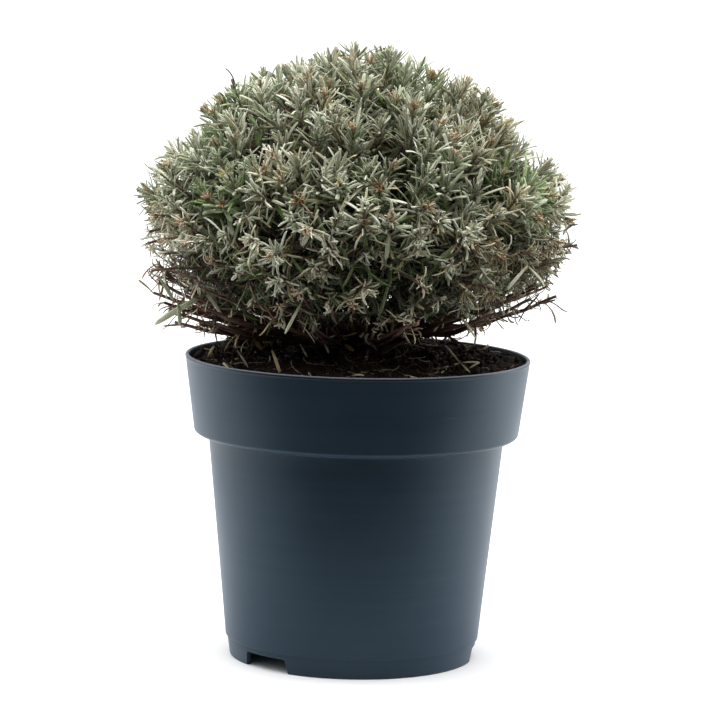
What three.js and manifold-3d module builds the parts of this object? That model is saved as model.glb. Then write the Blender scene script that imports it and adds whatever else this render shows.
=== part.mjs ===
// Potted lavender: one clipped, dome-shaped bush of grey-green lavender in a blue-grey plastic nursery pot.
// Units are millimetres, +Z is up, and the origin is the centre of the plane that the pot stands on.
// The side with the visible drainage notch faces -Y.
import * as THREE from 'three';
import { ConvexGeometry } from 'three/addons/geometries/ConvexGeometry.js';
import { mergeVertices } from 'three/addons/utils/BufferGeometryUtils.js';
import Module from 'manifold-3d';

const wasm = await Module();
wasm.setup();

const UP = new THREE.Vector3(0, 0, 1);
const GOLDEN_ANGLE = Math.PI * (3 - Math.sqrt(5));
const FIT_GAP = 0.3; // clearance between two pieces that touch on the real thing
const SEEDS = { litter: 41, mainStems: 7, lowTwigs: 100, shoots: 23, leaves: 8 };

// ---------- driving dimensions ----------

const POT = {
  segments: 52,
  height: 167,
  rimRadius: 95, // outside of the lip
  wall: 1.6,
  lipHeight: 3, // the thickened edge round the top of the collar
  lipProud: 0.7,
  collarFootZ: 122, // where the ledge under the collar meets the body
  collarFootRadius: 89.6, // outside of the collar just above its ledge
  ledgeHeight: 8,
  bodyTopRadius: 81.4,
  bodyFootRadius: 70.1,
  stepZ: 10.8, // the fine step between the body and the foot ring
  stepDepth: 0.7,
  footRadius: 67.7,
  footWall: 2, // the foot ring's thickness at the ground
  floorUnderZ: 8,
  floorThickness: 1.8,
};

const FLOOR_TOP = POT.floorUnderZ + POT.floorThickness;
const INNER_LEDGE = { footZ: POT.collarFootZ + 1.5, topZ: POT.collarFootZ + POT.ledgeHeight + 0.6 };
const LIP_EDGE = 0.7; // the lip's bevelled edges

const NOTCHES = {
  azimuthsDeg: [-43.5, 88, 202], // from -Y, towards +X
  widthBelow: 32,
  widthAbove: 28.5,
  depth: 12, // how far a notch's cutter runs through the foot ring
  proud: 4, // how far the cutter stands out of it
};

const DRAIN_HOLES = { count: 6, radius: 6, circleRadius: 44, sides: 8 };

const SOIL = {
  segments: 36,
  rings: 5,
  topZ: 163.5,
  moundHeight: 3.5, // the surface rises towards the trunk
  clodHeight: 0.75,
  edgeDrop: 3, // how far below its middle the surface meets the pot, for the pot's taper
};
// Waves that add up to the clods: radians for a millimetre along X and along Y, phase, share of the height.
const CLOD_WAVES = [
  [0.31, 0.12, 1.7, 0.9], [-0.1, 0.27, 0.4, 0.8], [0.19, 0.19, 0.6, 0.7], [0.43, -0.43, 0, 0.4],
];

// Fallen leaves that lie half sunk in the soil, with their roots between the two radii.
const LITTER = {
  count: 22,
  innerRadius: 28,
  outerRadius: 84,
  edgeRadius: 86, // no tip lies further out
  minLength: 9,
  maxLength: 14,
  width: 2,
  keel: 1.5,
  bend: 0.5,
  rootSunk: 0.5,
  tipSunk: 0.2,
};

// The outline that the leaf tips reach, from the top of the dome down to its underside: [radius, z].
const CROWN_OUTLINE = [
  [0, 337], [32, 332.5], [54, 323], [74, 311], [88, 297.5], [99, 284], [109, 271], [116.5, 258],
  [119, 246], [117, 234], [113, 222], [108, 208], [97, 198], [78, 192], [52, 189], [0, 188],
];
const CROWN = {
  centreZ: 236,
  leanX: -0.06, // sideways shift of the dome for each millimetre of height above leanZ
  leanZ: 232,
  tuftDepth: 20, // how far a shoot's woody end lies inside the outline of the leaf tips
  tuftJitter: 2.2,
  valleyDepth: 13, // how far the core dips between neighbouring shoots
  undersideZ: 204,
};

const SHOOTS = {
  count: 98,
  rootDepth: 3.6, // how far the leaves' common root lies inside the tuft's peak
  upwardPull: 0.4, // how much a shoot turns up from the surface's normal
};

const LEAF = {
  length: 25.5, // from the tuft's peak to the tip of an outer leaf
  innerLength: 0.74, // an inner leaf's share of that
  lengthSpread: 0.12,
  width: 3.1,
  keel: 1.5,
  outerCount: 5,
  innerCount: 2,
  outerSpreadDeg: 54,
  innerSpreadDeg: 20,
  tiltSpreadDeg: 8,
  turnSpread: 0.25,
  bend: 2, // how far the middle of an outer leaf bows away from its chord
  widestAt: 0.62, // share of the length, from the buried root, where the leaf is widest
};

const TRUNK = {
  radius: 10,
  flare: 1.5, // it is wider by this at its foot and narrower at its top
  footZ: 140,
  topZ: 171,
  sides: 9,
  steps: 3,
};

const MAIN_STEMS = {
  count: 7,
  sides: 5,
  steps: 5,
  rootRadius: 4.6,
  tipRadius: 2.2,
  rootDepth: 14, // how far below the trunk's top a stem begins
  reach: 62, // how far sideways the outermost stem runs
  reachSpread: 3,
  topZ: 262, // where the innermost stem ends
  topDrop: 38, // how much lower the outermost one ends
  sweepDeg: 15, // how far a stem turns round the trunk on its way
};

const TWIG = {
  sides: 5,
  steps: 5,
  rootRadius: 2.3,
  tipRadius: 0.9,
  // Points between the trunk and the tip: shares of the tip's radius, of the curl and of the climb.
  route: [[0.3, 0.6, 0.25], [0.68, 1, 0.5]],
  rootOut: 5, // where it leaves the trunk
  rootDepth: 6,
  leafSteps: [3, 4, 4.95], // steps along the twig that carry a withered leaf
  leafLength: 11,
  leafWidth: 1.7,
  leafKeel: 1,
  leafBend: 0.6,
  leafSunk: 0.6,
  leafGrowth: 4, // a leaf's hole is wider by this many gaps, so that its slanted sides stand clear
};

// Bare brown twigs under the dome: azimuth in degrees from -Y towards +X, tip radius, tip z and sideways curl
// in degrees.
const LOW_TWIGS = [
  [-99, 102, 183, 6], [-88, 108, 196, -8], [-76, 104, 189, 10], [-112, 104, 203, -6], [-60, 96, 186, -12],
  [86, 107, 197, 8], [72, 102, 190, -8], [104, 100, 187, 10], [124, 103, 193, -6],
  [-30, 92, 185, 12], [18, 94, 187, -10], [46, 97, 191, 12],
  [152, 98, 188, 8], [178, 96, 191, -10], [-150, 99, 189, 9], [-130, 97, 194, -9],
];

// ---------- helpers ----------

// A repeatable stream of numbers from 0 to 1.
function randomStream(seed) {
  let state = seed >>> 0;
  return () => {
    state = (state + 0x6d2b79f5) >>> 0;
    let mixed = Math.imul(state ^ (state >>> 15), 1 | state);
    mixed = (mixed + Math.imul(mixed ^ (mixed >>> 7), 61 | mixed)) ^ mixed;
    return ((mixed ^ (mixed >>> 14)) >>> 0) / 4294967296;
  };
}

const spread = (random, amount) => (random() * 2 - 1) * amount;
const radians = THREE.MathUtils.degToRad;

// The point at a radius and height, with the azimuth counted in radians from -Y towards +X.
const polar = (radius, azimuth, z) =>
  new THREE.Vector3(radius * Math.sin(azimuth), -radius * Math.cos(azimuth), z);

// Two unit vectors square to a direction.
function crossAxes(direction) {
  const helper = Math.abs(direction.z) < 0.9 ? UP : new THREE.Vector3(1, 0, 0);
  const side = new THREE.Vector3().crossVectors(helper, direction).normalize();
  return [side, new THREE.Vector3().crossVectors(direction, side).normalize()];
}

// A closed geometry through rings of points. A ring of one point is a pole, and a full ring at an end is
// capped flat. Each ring runs anticlockwise when seen from the end that the rings run towards.
function loft(rings) {
  const positions = rings.flat().flatMap((point) => point.toArray());
  const starts = [];
  rings.reduce((start, ring) => (starts.push(start), start + ring.length), 0);
  const index = [];
  for (let i = 0; i + 1 < rings.length; i += 1) {
    const below = rings[i];
    const above = rings[i + 1];
    const sides = Math.max(below.length, above.length);
    for (let k = 0; k < sides; k += 1) {
      const next = (k + 1) % sides;
      const a = starts[i] + (below.length > 1 ? k : 0);
      const b = starts[i] + (below.length > 1 ? next : 0);
      const c = starts[i + 1] + (above.length > 1 ? next : 0);
      const d = starts[i + 1] + (above.length > 1 ? k : 0);
      if (below.length > 1) index.push(a, b, c);
      if (above.length > 1) index.push(a, c, d);
    }
  }
  const last = rings.length - 1;
  for (let k = 1; k + 1 < rings[0].length; k += 1) {
    index.push(starts[0], starts[0] + k + 1, starts[0] + k);
  }
  for (let k = 1; k + 1 < rings[last].length; k += 1) {
    index.push(starts[last], starts[last] + k, starts[last] + k + 1);
  }
  const geometry = new THREE.BufferGeometry();
  geometry.setAttribute('position', new THREE.Float32BufferAttribute(positions, 3));
  geometry.setIndex(index);
  return geometry;
}

// A tapered round stem along a curve, with radiusAt giving its radius at a share of its length.
function stemGeometry(curve, steps, sides, radiusAt) {
  const frames = curve.computeFrenetFrames(steps, false);
  const rings = [];
  for (let i = 0; i <= steps; i += 1) {
    const centre = curve.getPointAt(i / steps);
    const radius = radiusAt(i / steps);
    rings.push(Array.from({ length: sides }, (_, k) => {
      const angle = (2 * Math.PI * k) / sides;
      return centre.clone()
        .addScaledVector(frames.normals[i], radius * Math.cos(angle))
        .addScaledVector(frames.binormals[i], radius * Math.sin(angle));
    }));
  }
  return loft(rings);
}

// A narrow leaf with a flat upper face, which looks towards facing, and a keel below. It widens from a
// pointed root, and narrows again to its tip.
function leafGeometry(root, direction, facing, { length, width, keel, bend }) {
  const face = facing.clone().addScaledVector(direction, -facing.dot(direction)).normalize();
  const side = new THREE.Vector3().crossVectors(direction, face).normalize();
  const widest = root.clone().addScaledVector(direction, length * LEAF.widestAt).addScaledVector(face, bend);
  const ring = [
    widest.clone().addScaledVector(side, width / 2),
    widest.clone().addScaledVector(face, -keel),
    widest.clone().addScaledVector(side, -width / 2),
  ];
  const tip = root.clone().addScaledVector(direction, length).addScaledVector(face, bend / 3);
  return loft([[root], ring, [tip]]);
}

function solidOf(geometry) {
  const bare = geometry.clone();
  bare.deleteAttribute('normal');
  bare.deleteAttribute('uv');
  const merged = mergeVertices(bare, 1e-4);
  return new wasm.Manifold(new wasm.Mesh({
    numProp: 3,
    vertProperties: Float32Array.from(merged.attributes.position.array),
    triVerts: Uint32Array.from(merged.index.array),
  }));
}

const fused = (solids) => wasm.Manifold.union(solids);

function geometryOf(solid) {
  const { numProp, vertProperties, triVerts } = solid.getMesh();
  const positions = [];
  for (let i = 0; i < vertProperties.length; i += numProp) {
    positions.push(vertProperties[i], vertProperties[i + 1], vertProperties[i + 2]);
  }
  const geometry = new THREE.BufferGeometry();
  geometry.setAttribute('position', new THREE.Float32BufferAttribute(positions, 3));
  geometry.setIndex(new THREE.BufferAttribute(triVerts, 1));
  geometry.computeVertexNormals();
  return geometry;
}

// The main body of a solid, without the loose scraps that a cut can leave.
function largestBody(solid) {
  return solid.decompose().reduce((best, body) => (body.volume() > best.volume() ? body : best));
}

function namedMesh(name, solid, material) {
  const mesh = new THREE.Mesh(geometryOf(solid), new THREE.MeshStandardMaterial(material));
  mesh.name = name;
  return mesh;
}

// ---------- pot ----------

// Points of the ledge under the collar: a quarter of an ellipse from the body out to the collar.
function ledgeArc(innerRadius, outerRadius, footZ, height, steps) {
  return Array.from({ length: steps + 1 }, (_, i) => {
    const angle = (Math.PI / 2) * (i / steps);
    return new THREE.Vector2(
      innerRadius + (outerRadius - innerRadius) * Math.sin(angle),
      footZ + height * (1 - Math.cos(angle)),
    );
  });
}

// Radius of the pot's inner wall at a height, over the floor and outside the ledge's slope.
function potInnerRadius(z) {
  const bodyShare = (z - FLOOR_TOP) / (INNER_LEDGE.footZ - FLOOR_TOP);
  const collarShare = (z - INNER_LEDGE.topZ) / (POT.height - POT.lipHeight - INNER_LEDGE.topZ);
  const outer = z <= INNER_LEDGE.footZ
    ? THREE.MathUtils.lerp(POT.bodyFootRadius, POT.bodyTopRadius, bodyShare)
    : THREE.MathUtils.lerp(POT.collarFootRadius, POT.rimRadius - POT.lipProud, collarShare);
  return outer - POT.wall;
}

function potSolid() {
  const v = (r, z) => new THREE.Vector2(r, z);
  const collarRadius = POT.rimRadius - POT.lipProud;
  const lipFootZ = POT.height - POT.lipHeight;
  const profile = [
    v(0, POT.floorUnderZ),
    v(POT.footRadius - POT.wall, POT.floorUnderZ),
    v(POT.footRadius - POT.footWall, 0),
    v(POT.footRadius, 0),
    v(POT.bodyFootRadius - POT.stepDepth, POT.stepZ),
    v(POT.bodyFootRadius, POT.stepZ),
    ...ledgeArc(POT.bodyTopRadius, POT.collarFootRadius, POT.collarFootZ, POT.ledgeHeight, 3),
    v(collarRadius, lipFootZ),
    v(POT.rimRadius, lipFootZ + LIP_EDGE),
    v(POT.rimRadius, POT.height - LIP_EDGE),
    v(POT.rimRadius - LIP_EDGE, POT.height),
    v(collarRadius - POT.wall, POT.height),
    v(potInnerRadius(INNER_LEDGE.topZ), INNER_LEDGE.topZ),
    v(potInnerRadius(INNER_LEDGE.footZ), INNER_LEDGE.footZ),
    v(potInnerRadius(FLOOR_TOP), FLOOR_TOP),
    v(0, FLOOR_TOP),
  ];
  const shell = new THREE.LatheGeometry(profile, POT.segments).rotateX(Math.PI / 2);
  return solidOf(shell).subtract(fused([...notchCutters(), ...drainCutters()]));
}

// Each cutter is a trapezium, wider below, that runs out through the foot ring.
function notchCutters() {
  const below = NOTCHES.widthBelow / 2;
  const above = NOTCHES.widthAbove / 2;
  const outline = new THREE.Shape([
    new THREE.Vector2(-below, -1),
    new THREE.Vector2(below, -1),
    new THREE.Vector2(above, POT.floorUnderZ),
    new THREE.Vector2(-above, POT.floorUnderZ),
  ]);
  return NOTCHES.azimuthsDeg.map((azimuth) => {
    const cutter = new THREE.ExtrudeGeometry(outline, { depth: NOTCHES.depth, bevelEnabled: false });
    cutter.rotateX(Math.PI / 2).translate(0, NOTCHES.depth - NOTCHES.proud - POT.footRadius, 0);
    return solidOf(cutter.rotateZ(radians(azimuth)));
  });
}

function drainCutters() {
  const { count, radius, circleRadius, sides } = DRAIN_HOLES;
  return Array.from({ length: count }, (_, i) => {
    const centre = polar(circleRadius, (2 * Math.PI * i) / count, FLOOR_TOP - POT.floorThickness / 2);
    const cutter = new THREE.CylinderGeometry(radius, radius, POT.floorThickness * 3, sides);
    return solidOf(cutter.rotateX(Math.PI / 2).translate(...centre.toArray()));
  });
}

// ---------- soil ----------

// Height of the soil's surface: a low mound with clods.
function soilTop(x, y) {
  const rimShare = Math.min(1, Math.hypot(x, y) / POT.rimRadius);
  const mound = SOIL.moundHeight * Math.cos((Math.PI / 2) * rimShare);
  const waves = CLOD_WAVES.map(([kx, ky, phase, share]) => share * Math.sin(kx * x + ky * y + phase));
  return SOIL.topZ + mound + SOIL.clodHeight * waves.reduce((sum, wave) => sum + wave);
}

function soilSolid(holeCutter) {
  const ringOf = (radius, heightAt) => Array.from({ length: SOIL.segments }, (_, k) => {
    const point = polar(radius, (2 * Math.PI * k) / SOIL.segments, 0);
    return point.setZ(heightAt(point.x, point.y));
  });
  const facetLoss = Math.cos(Math.PI / POT.segments); // the pot's flat facets lie inside its radius
  const inner = (z) => potInnerRadius(z) * facetLoss - FIT_GAP;
  const rings = [[new THREE.Vector3(0, 0, FLOOR_TOP + FIT_GAP)]];
  rings.push(ringOf(inner(FLOOR_TOP), () => FLOOR_TOP + FIT_GAP));
  rings.push(ringOf(inner(INNER_LEDGE.footZ), () => INNER_LEDGE.footZ + FIT_GAP));
  rings.push(ringOf(inner(INNER_LEDGE.topZ), () => INNER_LEDGE.topZ + 1));
  for (let i = SOIL.rings; i > 0; i -= 1) {
    rings.push(ringOf((inner(SOIL.topZ - SOIL.edgeDrop) * i) / SOIL.rings, soilTop));
  }
  rings.push([new THREE.Vector3(0, 0, soilTop(0, 0))]);
  return largestBody(fused([solidOf(loft(rings)), ...fallenLeaves()]).subtract(holeCutter));
}

function fallenLeaves() {
  const random = randomStream(SEEDS.litter);
  return Array.from({ length: LITTER.count }, (_, i) => {
    const radius = THREE.MathUtils.lerp(LITTER.innerRadius, LITTER.outerRadius, Math.sqrt(random()));
    const root = polar(radius, i * GOLDEN_ANGLE, 0);
    const heading = spread(random, Math.PI);
    const length = THREE.MathUtils.lerp(LITTER.minLength, LITTER.maxLength, random());
    const run = new THREE.Vector3(Math.cos(heading), Math.sin(heading), 0).multiplyScalar(length);
    if (root.clone().add(run).length() > LITTER.edgeRadius) run.negate();
    const tip = root.clone().add(run);
    root.z = soilTop(root.x, root.y) - LITTER.rootSunk;
    tip.z = soilTop(tip.x, tip.y) - LITTER.tipSunk;
    const direction = tip.sub(root).normalize();
    return solidOf(leafGeometry(root, direction, UP, { ...LITTER, length }));
  });
}

// ---------- woody stems ----------

function trunkSolid(grow) {
  const foot = new THREE.Vector3(0, 0, TRUNK.footZ - grow);
  const curve = new THREE.LineCurve3(foot, new THREE.Vector3(0, 0, TRUNK.topZ));
  const radiusAt = (share) => TRUNK.radius + grow + TRUNK.flare * Math.cos(share * Math.PI);
  return solidOf(stemGeometry(curve, TRUNK.steps, TRUNK.sides, radiusAt));
}

// Stout stems that rise from the trunk, lean out and carry the dome.
function mainStemSolids(grow) {
  const random = randomStream(SEEDS.mainStems);
  return Array.from({ length: MAIN_STEMS.count }, (_, i) => {
    const azimuth = i * GOLDEN_ANGLE;
    const share = (i + 0.5) / MAIN_STEMS.count;
    const reach = MAIN_STEMS.reach * Math.sqrt(share) + spread(random, MAIN_STEMS.reachSpread);
    const topZ = MAIN_STEMS.topZ - MAIN_STEMS.topDrop * share + grow;
    const onPath = (out, up) => polar(
      TRUNK.radius * 0.8 + reach * out,
      azimuth + radians(MAIN_STEMS.sweepDeg) * out,
      THREE.MathUtils.lerp(TRUNK.topZ, topZ, up),
    );
    const root = polar(TRUNK.radius * 0.4, azimuth, TRUNK.topZ - MAIN_STEMS.rootDepth);
    const curve = new THREE.CatmullRomCurve3([root, onPath(0.12, 0.1), onPath(0.5, 0.5), onPath(1, 1)]);
    const radiusAt = (t) => THREE.MathUtils.lerp(MAIN_STEMS.rootRadius, MAIN_STEMS.tipRadius, t) + grow;
    return solidOf(stemGeometry(curve, MAIN_STEMS.steps, MAIN_STEMS.sides, radiusAt));
  });
}

function twigCurve([azimuthDeg, tipRadius, tipZ, curlDeg]) {
  const azimuth = radians(azimuthDeg);
  const between = TWIG.route.map(([out, turned, up]) => polar(
    tipRadius * out,
    azimuth + radians(curlDeg) * turned,
    THREE.MathUtils.lerp(TRUNK.topZ, tipZ, up),
  ));
  const root = polar(TWIG.rootOut, azimuth, TRUNK.topZ - TWIG.rootDepth);
  return new THREE.CatmullRomCurve3([root, ...between, polar(tipRadius, azimuth, tipZ)]);
}

// One low twig with its few withered leaves, fused.
function lowTwigSolid(spec, seed, grow) {
  const random = randomStream(seed);
  const curve = twigCurve(spec);
  const radiusAt = (t) => THREE.MathUtils.lerp(TWIG.rootRadius, TWIG.tipRadius, t) + grow;
  const leaves = TWIG.leafSteps.map((step, i) => {
    const share = step / TWIG.steps;
    const along = curve.getTangentAt(share);
    const [side, over] = crossAxes(along);
    const turn = i * GOLDEN_ANGLE + random() * 1.2;
    const lift = 0.35 + 0.4 * Math.abs(Math.sin(turn)); // the leaves stand up from the twig, not down
    const outward = side.multiplyScalar(Math.cos(turn)).addScaledVector(over, lift);
    const direction = along.clone().multiplyScalar(0.8).add(outward).normalize();
    const root = curve.getPointAt(share).addScaledVector(direction, -TWIG.leafSunk);
    return solidOf(leafGeometry(root, direction, over, {
      length: TWIG.leafLength * (1 + spread(random, 0.2)) + 2 * grow,
      width: TWIG.leafWidth + TWIG.leafGrowth * grow,
      keel: TWIG.leafKeel + TWIG.leafGrowth * grow,
      bend: TWIG.leafBend + grow,
    }));
  });
  return fused([solidOf(stemGeometry(curve, TWIG.steps, TWIG.sides, radiusAt)), ...leaves]);
}

function woodySolid(grow) {
  const twigs = LOW_TWIGS.map((spec, i) => lowTwigSolid(spec, SEEDS.lowTwigs + i, grow));
  return fused([trunkSolid(grow), ...mainStemSolids(grow), ...twigs]);
}

// ---------- foliage ----------

// Sideways shift of the dome at a height.
const crownLean = (z) => CROWN.leanX * (z - CROWN.leanZ);

// Shares of the outline's length that give shoots evenly over the surface that it sweeps.
function evenShares(outline, count) {
  const samples = 200;
  const lowest = 0.93; // the shaded underside round the trunk carries no shoots
  const swept = [0];
  for (let i = 1; i <= samples; i += 1) {
    swept.push(swept[i - 1] + outline.getPointAt((i - 0.5) / samples).x);
  }
  const total = swept[Math.round(samples * lowest)];
  return Array.from({ length: count }, (_, i) => {
    const wanted = ((i + 0.5) / count) * total;
    return swept.findIndex((value) => value >= wanted) / samples;
  });
}

// Where the shoots end and which way each points: a spiral over the crown, inside the outline of the
// leaf tips.
function shootSites() {
  const outline = new THREE.SplineCurve(CROWN_OUTLINE.map(([radius, z]) => new THREE.Vector2(radius, z)));
  const random = randomStream(SEEDS.shoots);
  return evenShares(outline, SHOOTS.count).map((share, i) => {
    const azimuth = i * GOLDEN_ANGLE;
    const tangent = outline.getTangentAt(share);
    const at = outline.getPointAt(share);
    const depth = CROWN.tuftDepth + spread(random, CROWN.tuftJitter);
    const normal = polar(-tangent.y, azimuth, tangent.x);
    const peak = polar(at.x, azimuth, at.y).addScaledVector(normal, -depth);
    peak.x += crownLean(peak.z);
    const pull = SHOOTS.upwardPull * Math.max(0, 0.4 + normal.z);
    return { peak, axis: normal.clone().addScaledVector(UP, pull).normalize() };
  });
}

// The core: a closed skin that peaks at every shoot and dips between neighbouring shoots.
function coreSolid(sites) {
  const centre = new THREE.Vector3(0, 0, CROWN.centreZ);
  const peaks = [...sites.map((site) => site.peak), new THREE.Vector3(0, 0, CROWN.undersideZ)];
  const directions = peaks.map((peak) => peak.clone().sub(centre).normalize());
  const hull = new ConvexGeometry(directions).getAttribute('position');
  const nearest = (i) => {
    const corner = new THREE.Vector3().fromBufferAttribute(hull, i);
    return directions.findIndex((direction) => direction.distanceToSquared(corner) < 1e-9);
  };
  const valleyBetween = (...ends) => {
    const [first, second] = ends.sort((a, b) => a - b).map((end) => peaks[end]);
    const middle = first.clone().lerp(second, 0.5);
    return middle.addScaledVector(middle.clone().sub(centre).normalize(), -CROWN.valleyDepth);
  };
  const positions = [];
  for (let i = 0; i < hull.count; i += 3) {
    const corners = [nearest(i), nearest(i + 1), nearest(i + 2)];
    const valleys = corners.map((corner, k) => valleyBetween(corner, corners[(k + 1) % 3]));
    const faces = corners.flatMap((corner, k) => [peaks[corner], valleys[k], valleys[(k + 2) % 3]]);
    positions.push(...[...faces, ...valleys].flatMap((point) => point.toArray()));
  }
  const skin = new THREE.BufferGeometry();
  skin.setAttribute('position', new THREE.Float32BufferAttribute(positions, 3));
  return solidOf(skin);
}

// The leaves of one shoot: an outer whorl that opens wide and a few inner leaves that stand close round
// the bud.
function shootLeaves({ peak, axis }, random) {
  const root = peak.clone().addScaledVector(axis, -SHOOTS.rootDepth);
  const [side, over] = crossAxes(axis);
  const twist = random() * Math.PI;
  const whorl = (count, spreadDeg, lengthShare, bend) => Array.from({ length: count }, (_, i) => {
    const turn = twist + (2 * Math.PI * i) / count + spread(random, LEAF.turnSpread);
    const tilt = radians(spreadDeg + spread(random, LEAF.tiltSpreadDeg));
    const outward = side.clone().multiplyScalar(Math.cos(turn)).addScaledVector(over, Math.sin(turn));
    const direction = axis.clone().multiplyScalar(Math.cos(tilt)).addScaledVector(outward, Math.sin(tilt));
    const length = SHOOTS.rootDepth + LEAF.length * lengthShare * (1 + spread(random, LEAF.lengthSpread));
    return solidOf(leafGeometry(root, direction, outward.negate(), { ...LEAF, length, bend }));
  });
  return [
    ...whorl(LEAF.outerCount, LEAF.outerSpreadDeg, 1, LEAF.bend),
    ...whorl(LEAF.innerCount, LEAF.innerSpreadDeg, LEAF.innerLength, LEAF.bend / 2),
  ];
}

function foliageSolid(stemCutter) {
  const sites = shootSites();
  const random = randomStream(SEEDS.leaves);
  const leaves = sites.flatMap((site) => shootLeaves(site, random));
  return largestBody(fused([coreSolid(sites), ...leaves]).subtract(stemCutter));
}

// ---------- assembly ----------

const stemClearance = woodySolid(FIT_GAP);
const plant = new THREE.Group();
plant.add(
  namedMesh('pot', potSolid(), { color: 0x3d4b58, roughness: 0.42, metalness: 0 }),
  namedMesh('soil', soilSolid(stemClearance), { color: 0x21170f, roughness: 0.95, metalness: 0 }),
  namedMesh('woody_stems', woodySolid(0), { color: 0x5b4132, roughness: 0.85, metalness: 0 }),
  namedMesh('foliage', foliageSolid(stemClearance), { color: 0x8c957d, roughness: 0.8, metalness: 0 }),
);

export default plant;
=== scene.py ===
"""Potted lavender: a clipped dome of grey-green lavender in a blue-grey plastic nursery pot.

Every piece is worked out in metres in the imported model's frame: +Z is up, the pot stands on z = 0 with its
axis on the origin, and the photographed side faces -Y. Azimuths are counted from -Y towards +X.
"""

import logging
import math
from collections.abc import Sequence
from dataclasses import dataclass, field, fields
from enum import Enum
from typing import Self

import bpy
import numpy as np
from mathutils import Matrix, Vector


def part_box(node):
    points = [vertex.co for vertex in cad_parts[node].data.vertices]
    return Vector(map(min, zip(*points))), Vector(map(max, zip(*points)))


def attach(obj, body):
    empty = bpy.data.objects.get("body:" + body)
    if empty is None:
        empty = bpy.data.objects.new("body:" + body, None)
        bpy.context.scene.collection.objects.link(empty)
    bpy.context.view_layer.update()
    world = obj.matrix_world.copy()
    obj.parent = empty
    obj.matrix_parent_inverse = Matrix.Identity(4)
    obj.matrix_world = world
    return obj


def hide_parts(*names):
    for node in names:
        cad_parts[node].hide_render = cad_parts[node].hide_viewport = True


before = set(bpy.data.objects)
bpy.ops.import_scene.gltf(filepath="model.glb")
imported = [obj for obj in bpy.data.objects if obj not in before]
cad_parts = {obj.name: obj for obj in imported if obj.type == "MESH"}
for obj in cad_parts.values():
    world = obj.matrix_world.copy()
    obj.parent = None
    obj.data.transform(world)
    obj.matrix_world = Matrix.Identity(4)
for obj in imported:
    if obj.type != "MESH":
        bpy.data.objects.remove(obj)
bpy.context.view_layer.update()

log = logging.getLogger("potted_lavender")

Array = np.ndarray
Generator = np.random.Generator
Colour = tuple[float, float, float, float]
Socket = bpy.types.NodeSocket

MM = 0.001
UP = np.array((0.0, 0.0, 1.0))
GOLDEN_ANGLE = math.pi * (3 - math.sqrt(5))


class Slot(Enum):
    """The record's material slots."""

    POT = "pot_plastic"
    SOIL = "soil"
    BARK = "bark"
    LEAF = "leaf"


class Node(Enum):
    """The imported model's nodes."""

    POT = "pot"
    SOIL = "soil"
    WOODY = "woody_stems"
    FOLIAGE = "foliage"


class Side(Enum):
    """The eight sides of the dome, in the order of their azimuths."""

    FRONT = 0
    FRONT_RIGHT = 1
    RIGHT = 2
    BACK_RIGHT = 3
    BACK = 4
    BACK_LEFT = 5
    LEFT = 6
    FRONT_LEFT = 7


# ---------- vectors, curves and relief ----------


def unit(vectors: Array) -> Array:
    """Each vector, scaled to a length of one."""
    return vectors / np.linalg.norm(vectors, axis=-1, keepdims=True)


def lerp(low: Array | float, high: Array | float, share: Array | float) -> Array:
    """The value at a share of the way from low to high."""
    return low + (high - low) * share


def ramped(past: Array, over: float) -> Array:
    """0 up to a place, 1 from a length beyond it on, and straight between, from the distance past it."""
    return np.clip(past / over, 0, 1)


def wrapped(angle: Array) -> Array:
    """The same angle between -pi and pi."""
    return (angle + math.pi) % (2 * math.pi) - math.pi


def polar(radius: Array | float, azimuth: Array | float, z: Array | float) -> Array:
    """The points at a radius, an azimuth in radians from -Y towards +X, and a height."""
    r, a, h = np.broadcast_arrays(radius, azimuth, z)
    return np.stack((r * np.sin(a), -r * np.cos(a), h), axis=-1)


def cross_axes(axes: Array) -> tuple[Array, Array]:
    """For each unit vector, a level one square to it, and the one that completes a right-handed set."""
    steep = np.abs(axes[..., 2:3]) > 0.9
    helper = np.where(steep, np.array((1.0, 0.0, 0.0)), UP)
    side = unit(np.cross(helper, axes))
    return side, np.cross(axes, side)


def tilted(axes: Array, turn: Array, tilt: Array) -> tuple[Array, Array]:
    """Directions that lean away from their axes.

    A direction is cos(tilt) * axis + sin(tilt) * outward, and turn places outward round the axis.

    Returns:
        The directions, and the unit vectors square to them that look back to the axis's own end.
    """
    side, over = cross_axes(axes)
    outward = side * np.cos(turn)[..., None] + over * np.sin(turn)[..., None]
    cos, sin = np.cos(tilt)[..., None], np.sin(tilt)[..., None]
    return axes * cos + outward * sin, axes * sin - outward * cos


def bezier(start: Array, start_pull: Array, end_pull: Array, end: Array, steps: int) -> Array:
    """Cubic curves: (1-t)^3 a + 3 t (1-t)^2 b + 3 t^2 (1-t) c + t^3 d, from four rows of points (n, 3).

    Returns:
        Points on the curves, (n, steps + 1, 3).
    """
    t = np.linspace(0, 1, steps + 1)[None, :, None]
    a, b, c, d = (p[:, None, :] for p in (start, start_pull, end_pull, end))
    return a * (1 - t) ** 3 + 3 * b * t * (1 - t) ** 2 + 3 * c * t**2 * (1 - t) + d * t**3


def through(knots: Array, steps: int) -> Array:
    """Smooth curves through knots, by cubic stretches whose slopes are half the step between neighbours.

    Args:
        knots: Points that the curves pass, (n, k, 3).
        steps: Number of stretches between two knots.
    """
    slopes = np.gradient(knots, axis=1)
    parts = []
    for i in range(knots.shape[1] - 1):
        a, b = knots[:, i], knots[:, i + 1]
        parts.append(bezier(a, a + slopes[:, i] / 3, b - slopes[:, i + 1] / 3, b, steps)[:, :-1])
    return np.concatenate([*parts, knots[:, -1:]], axis=1)


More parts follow.
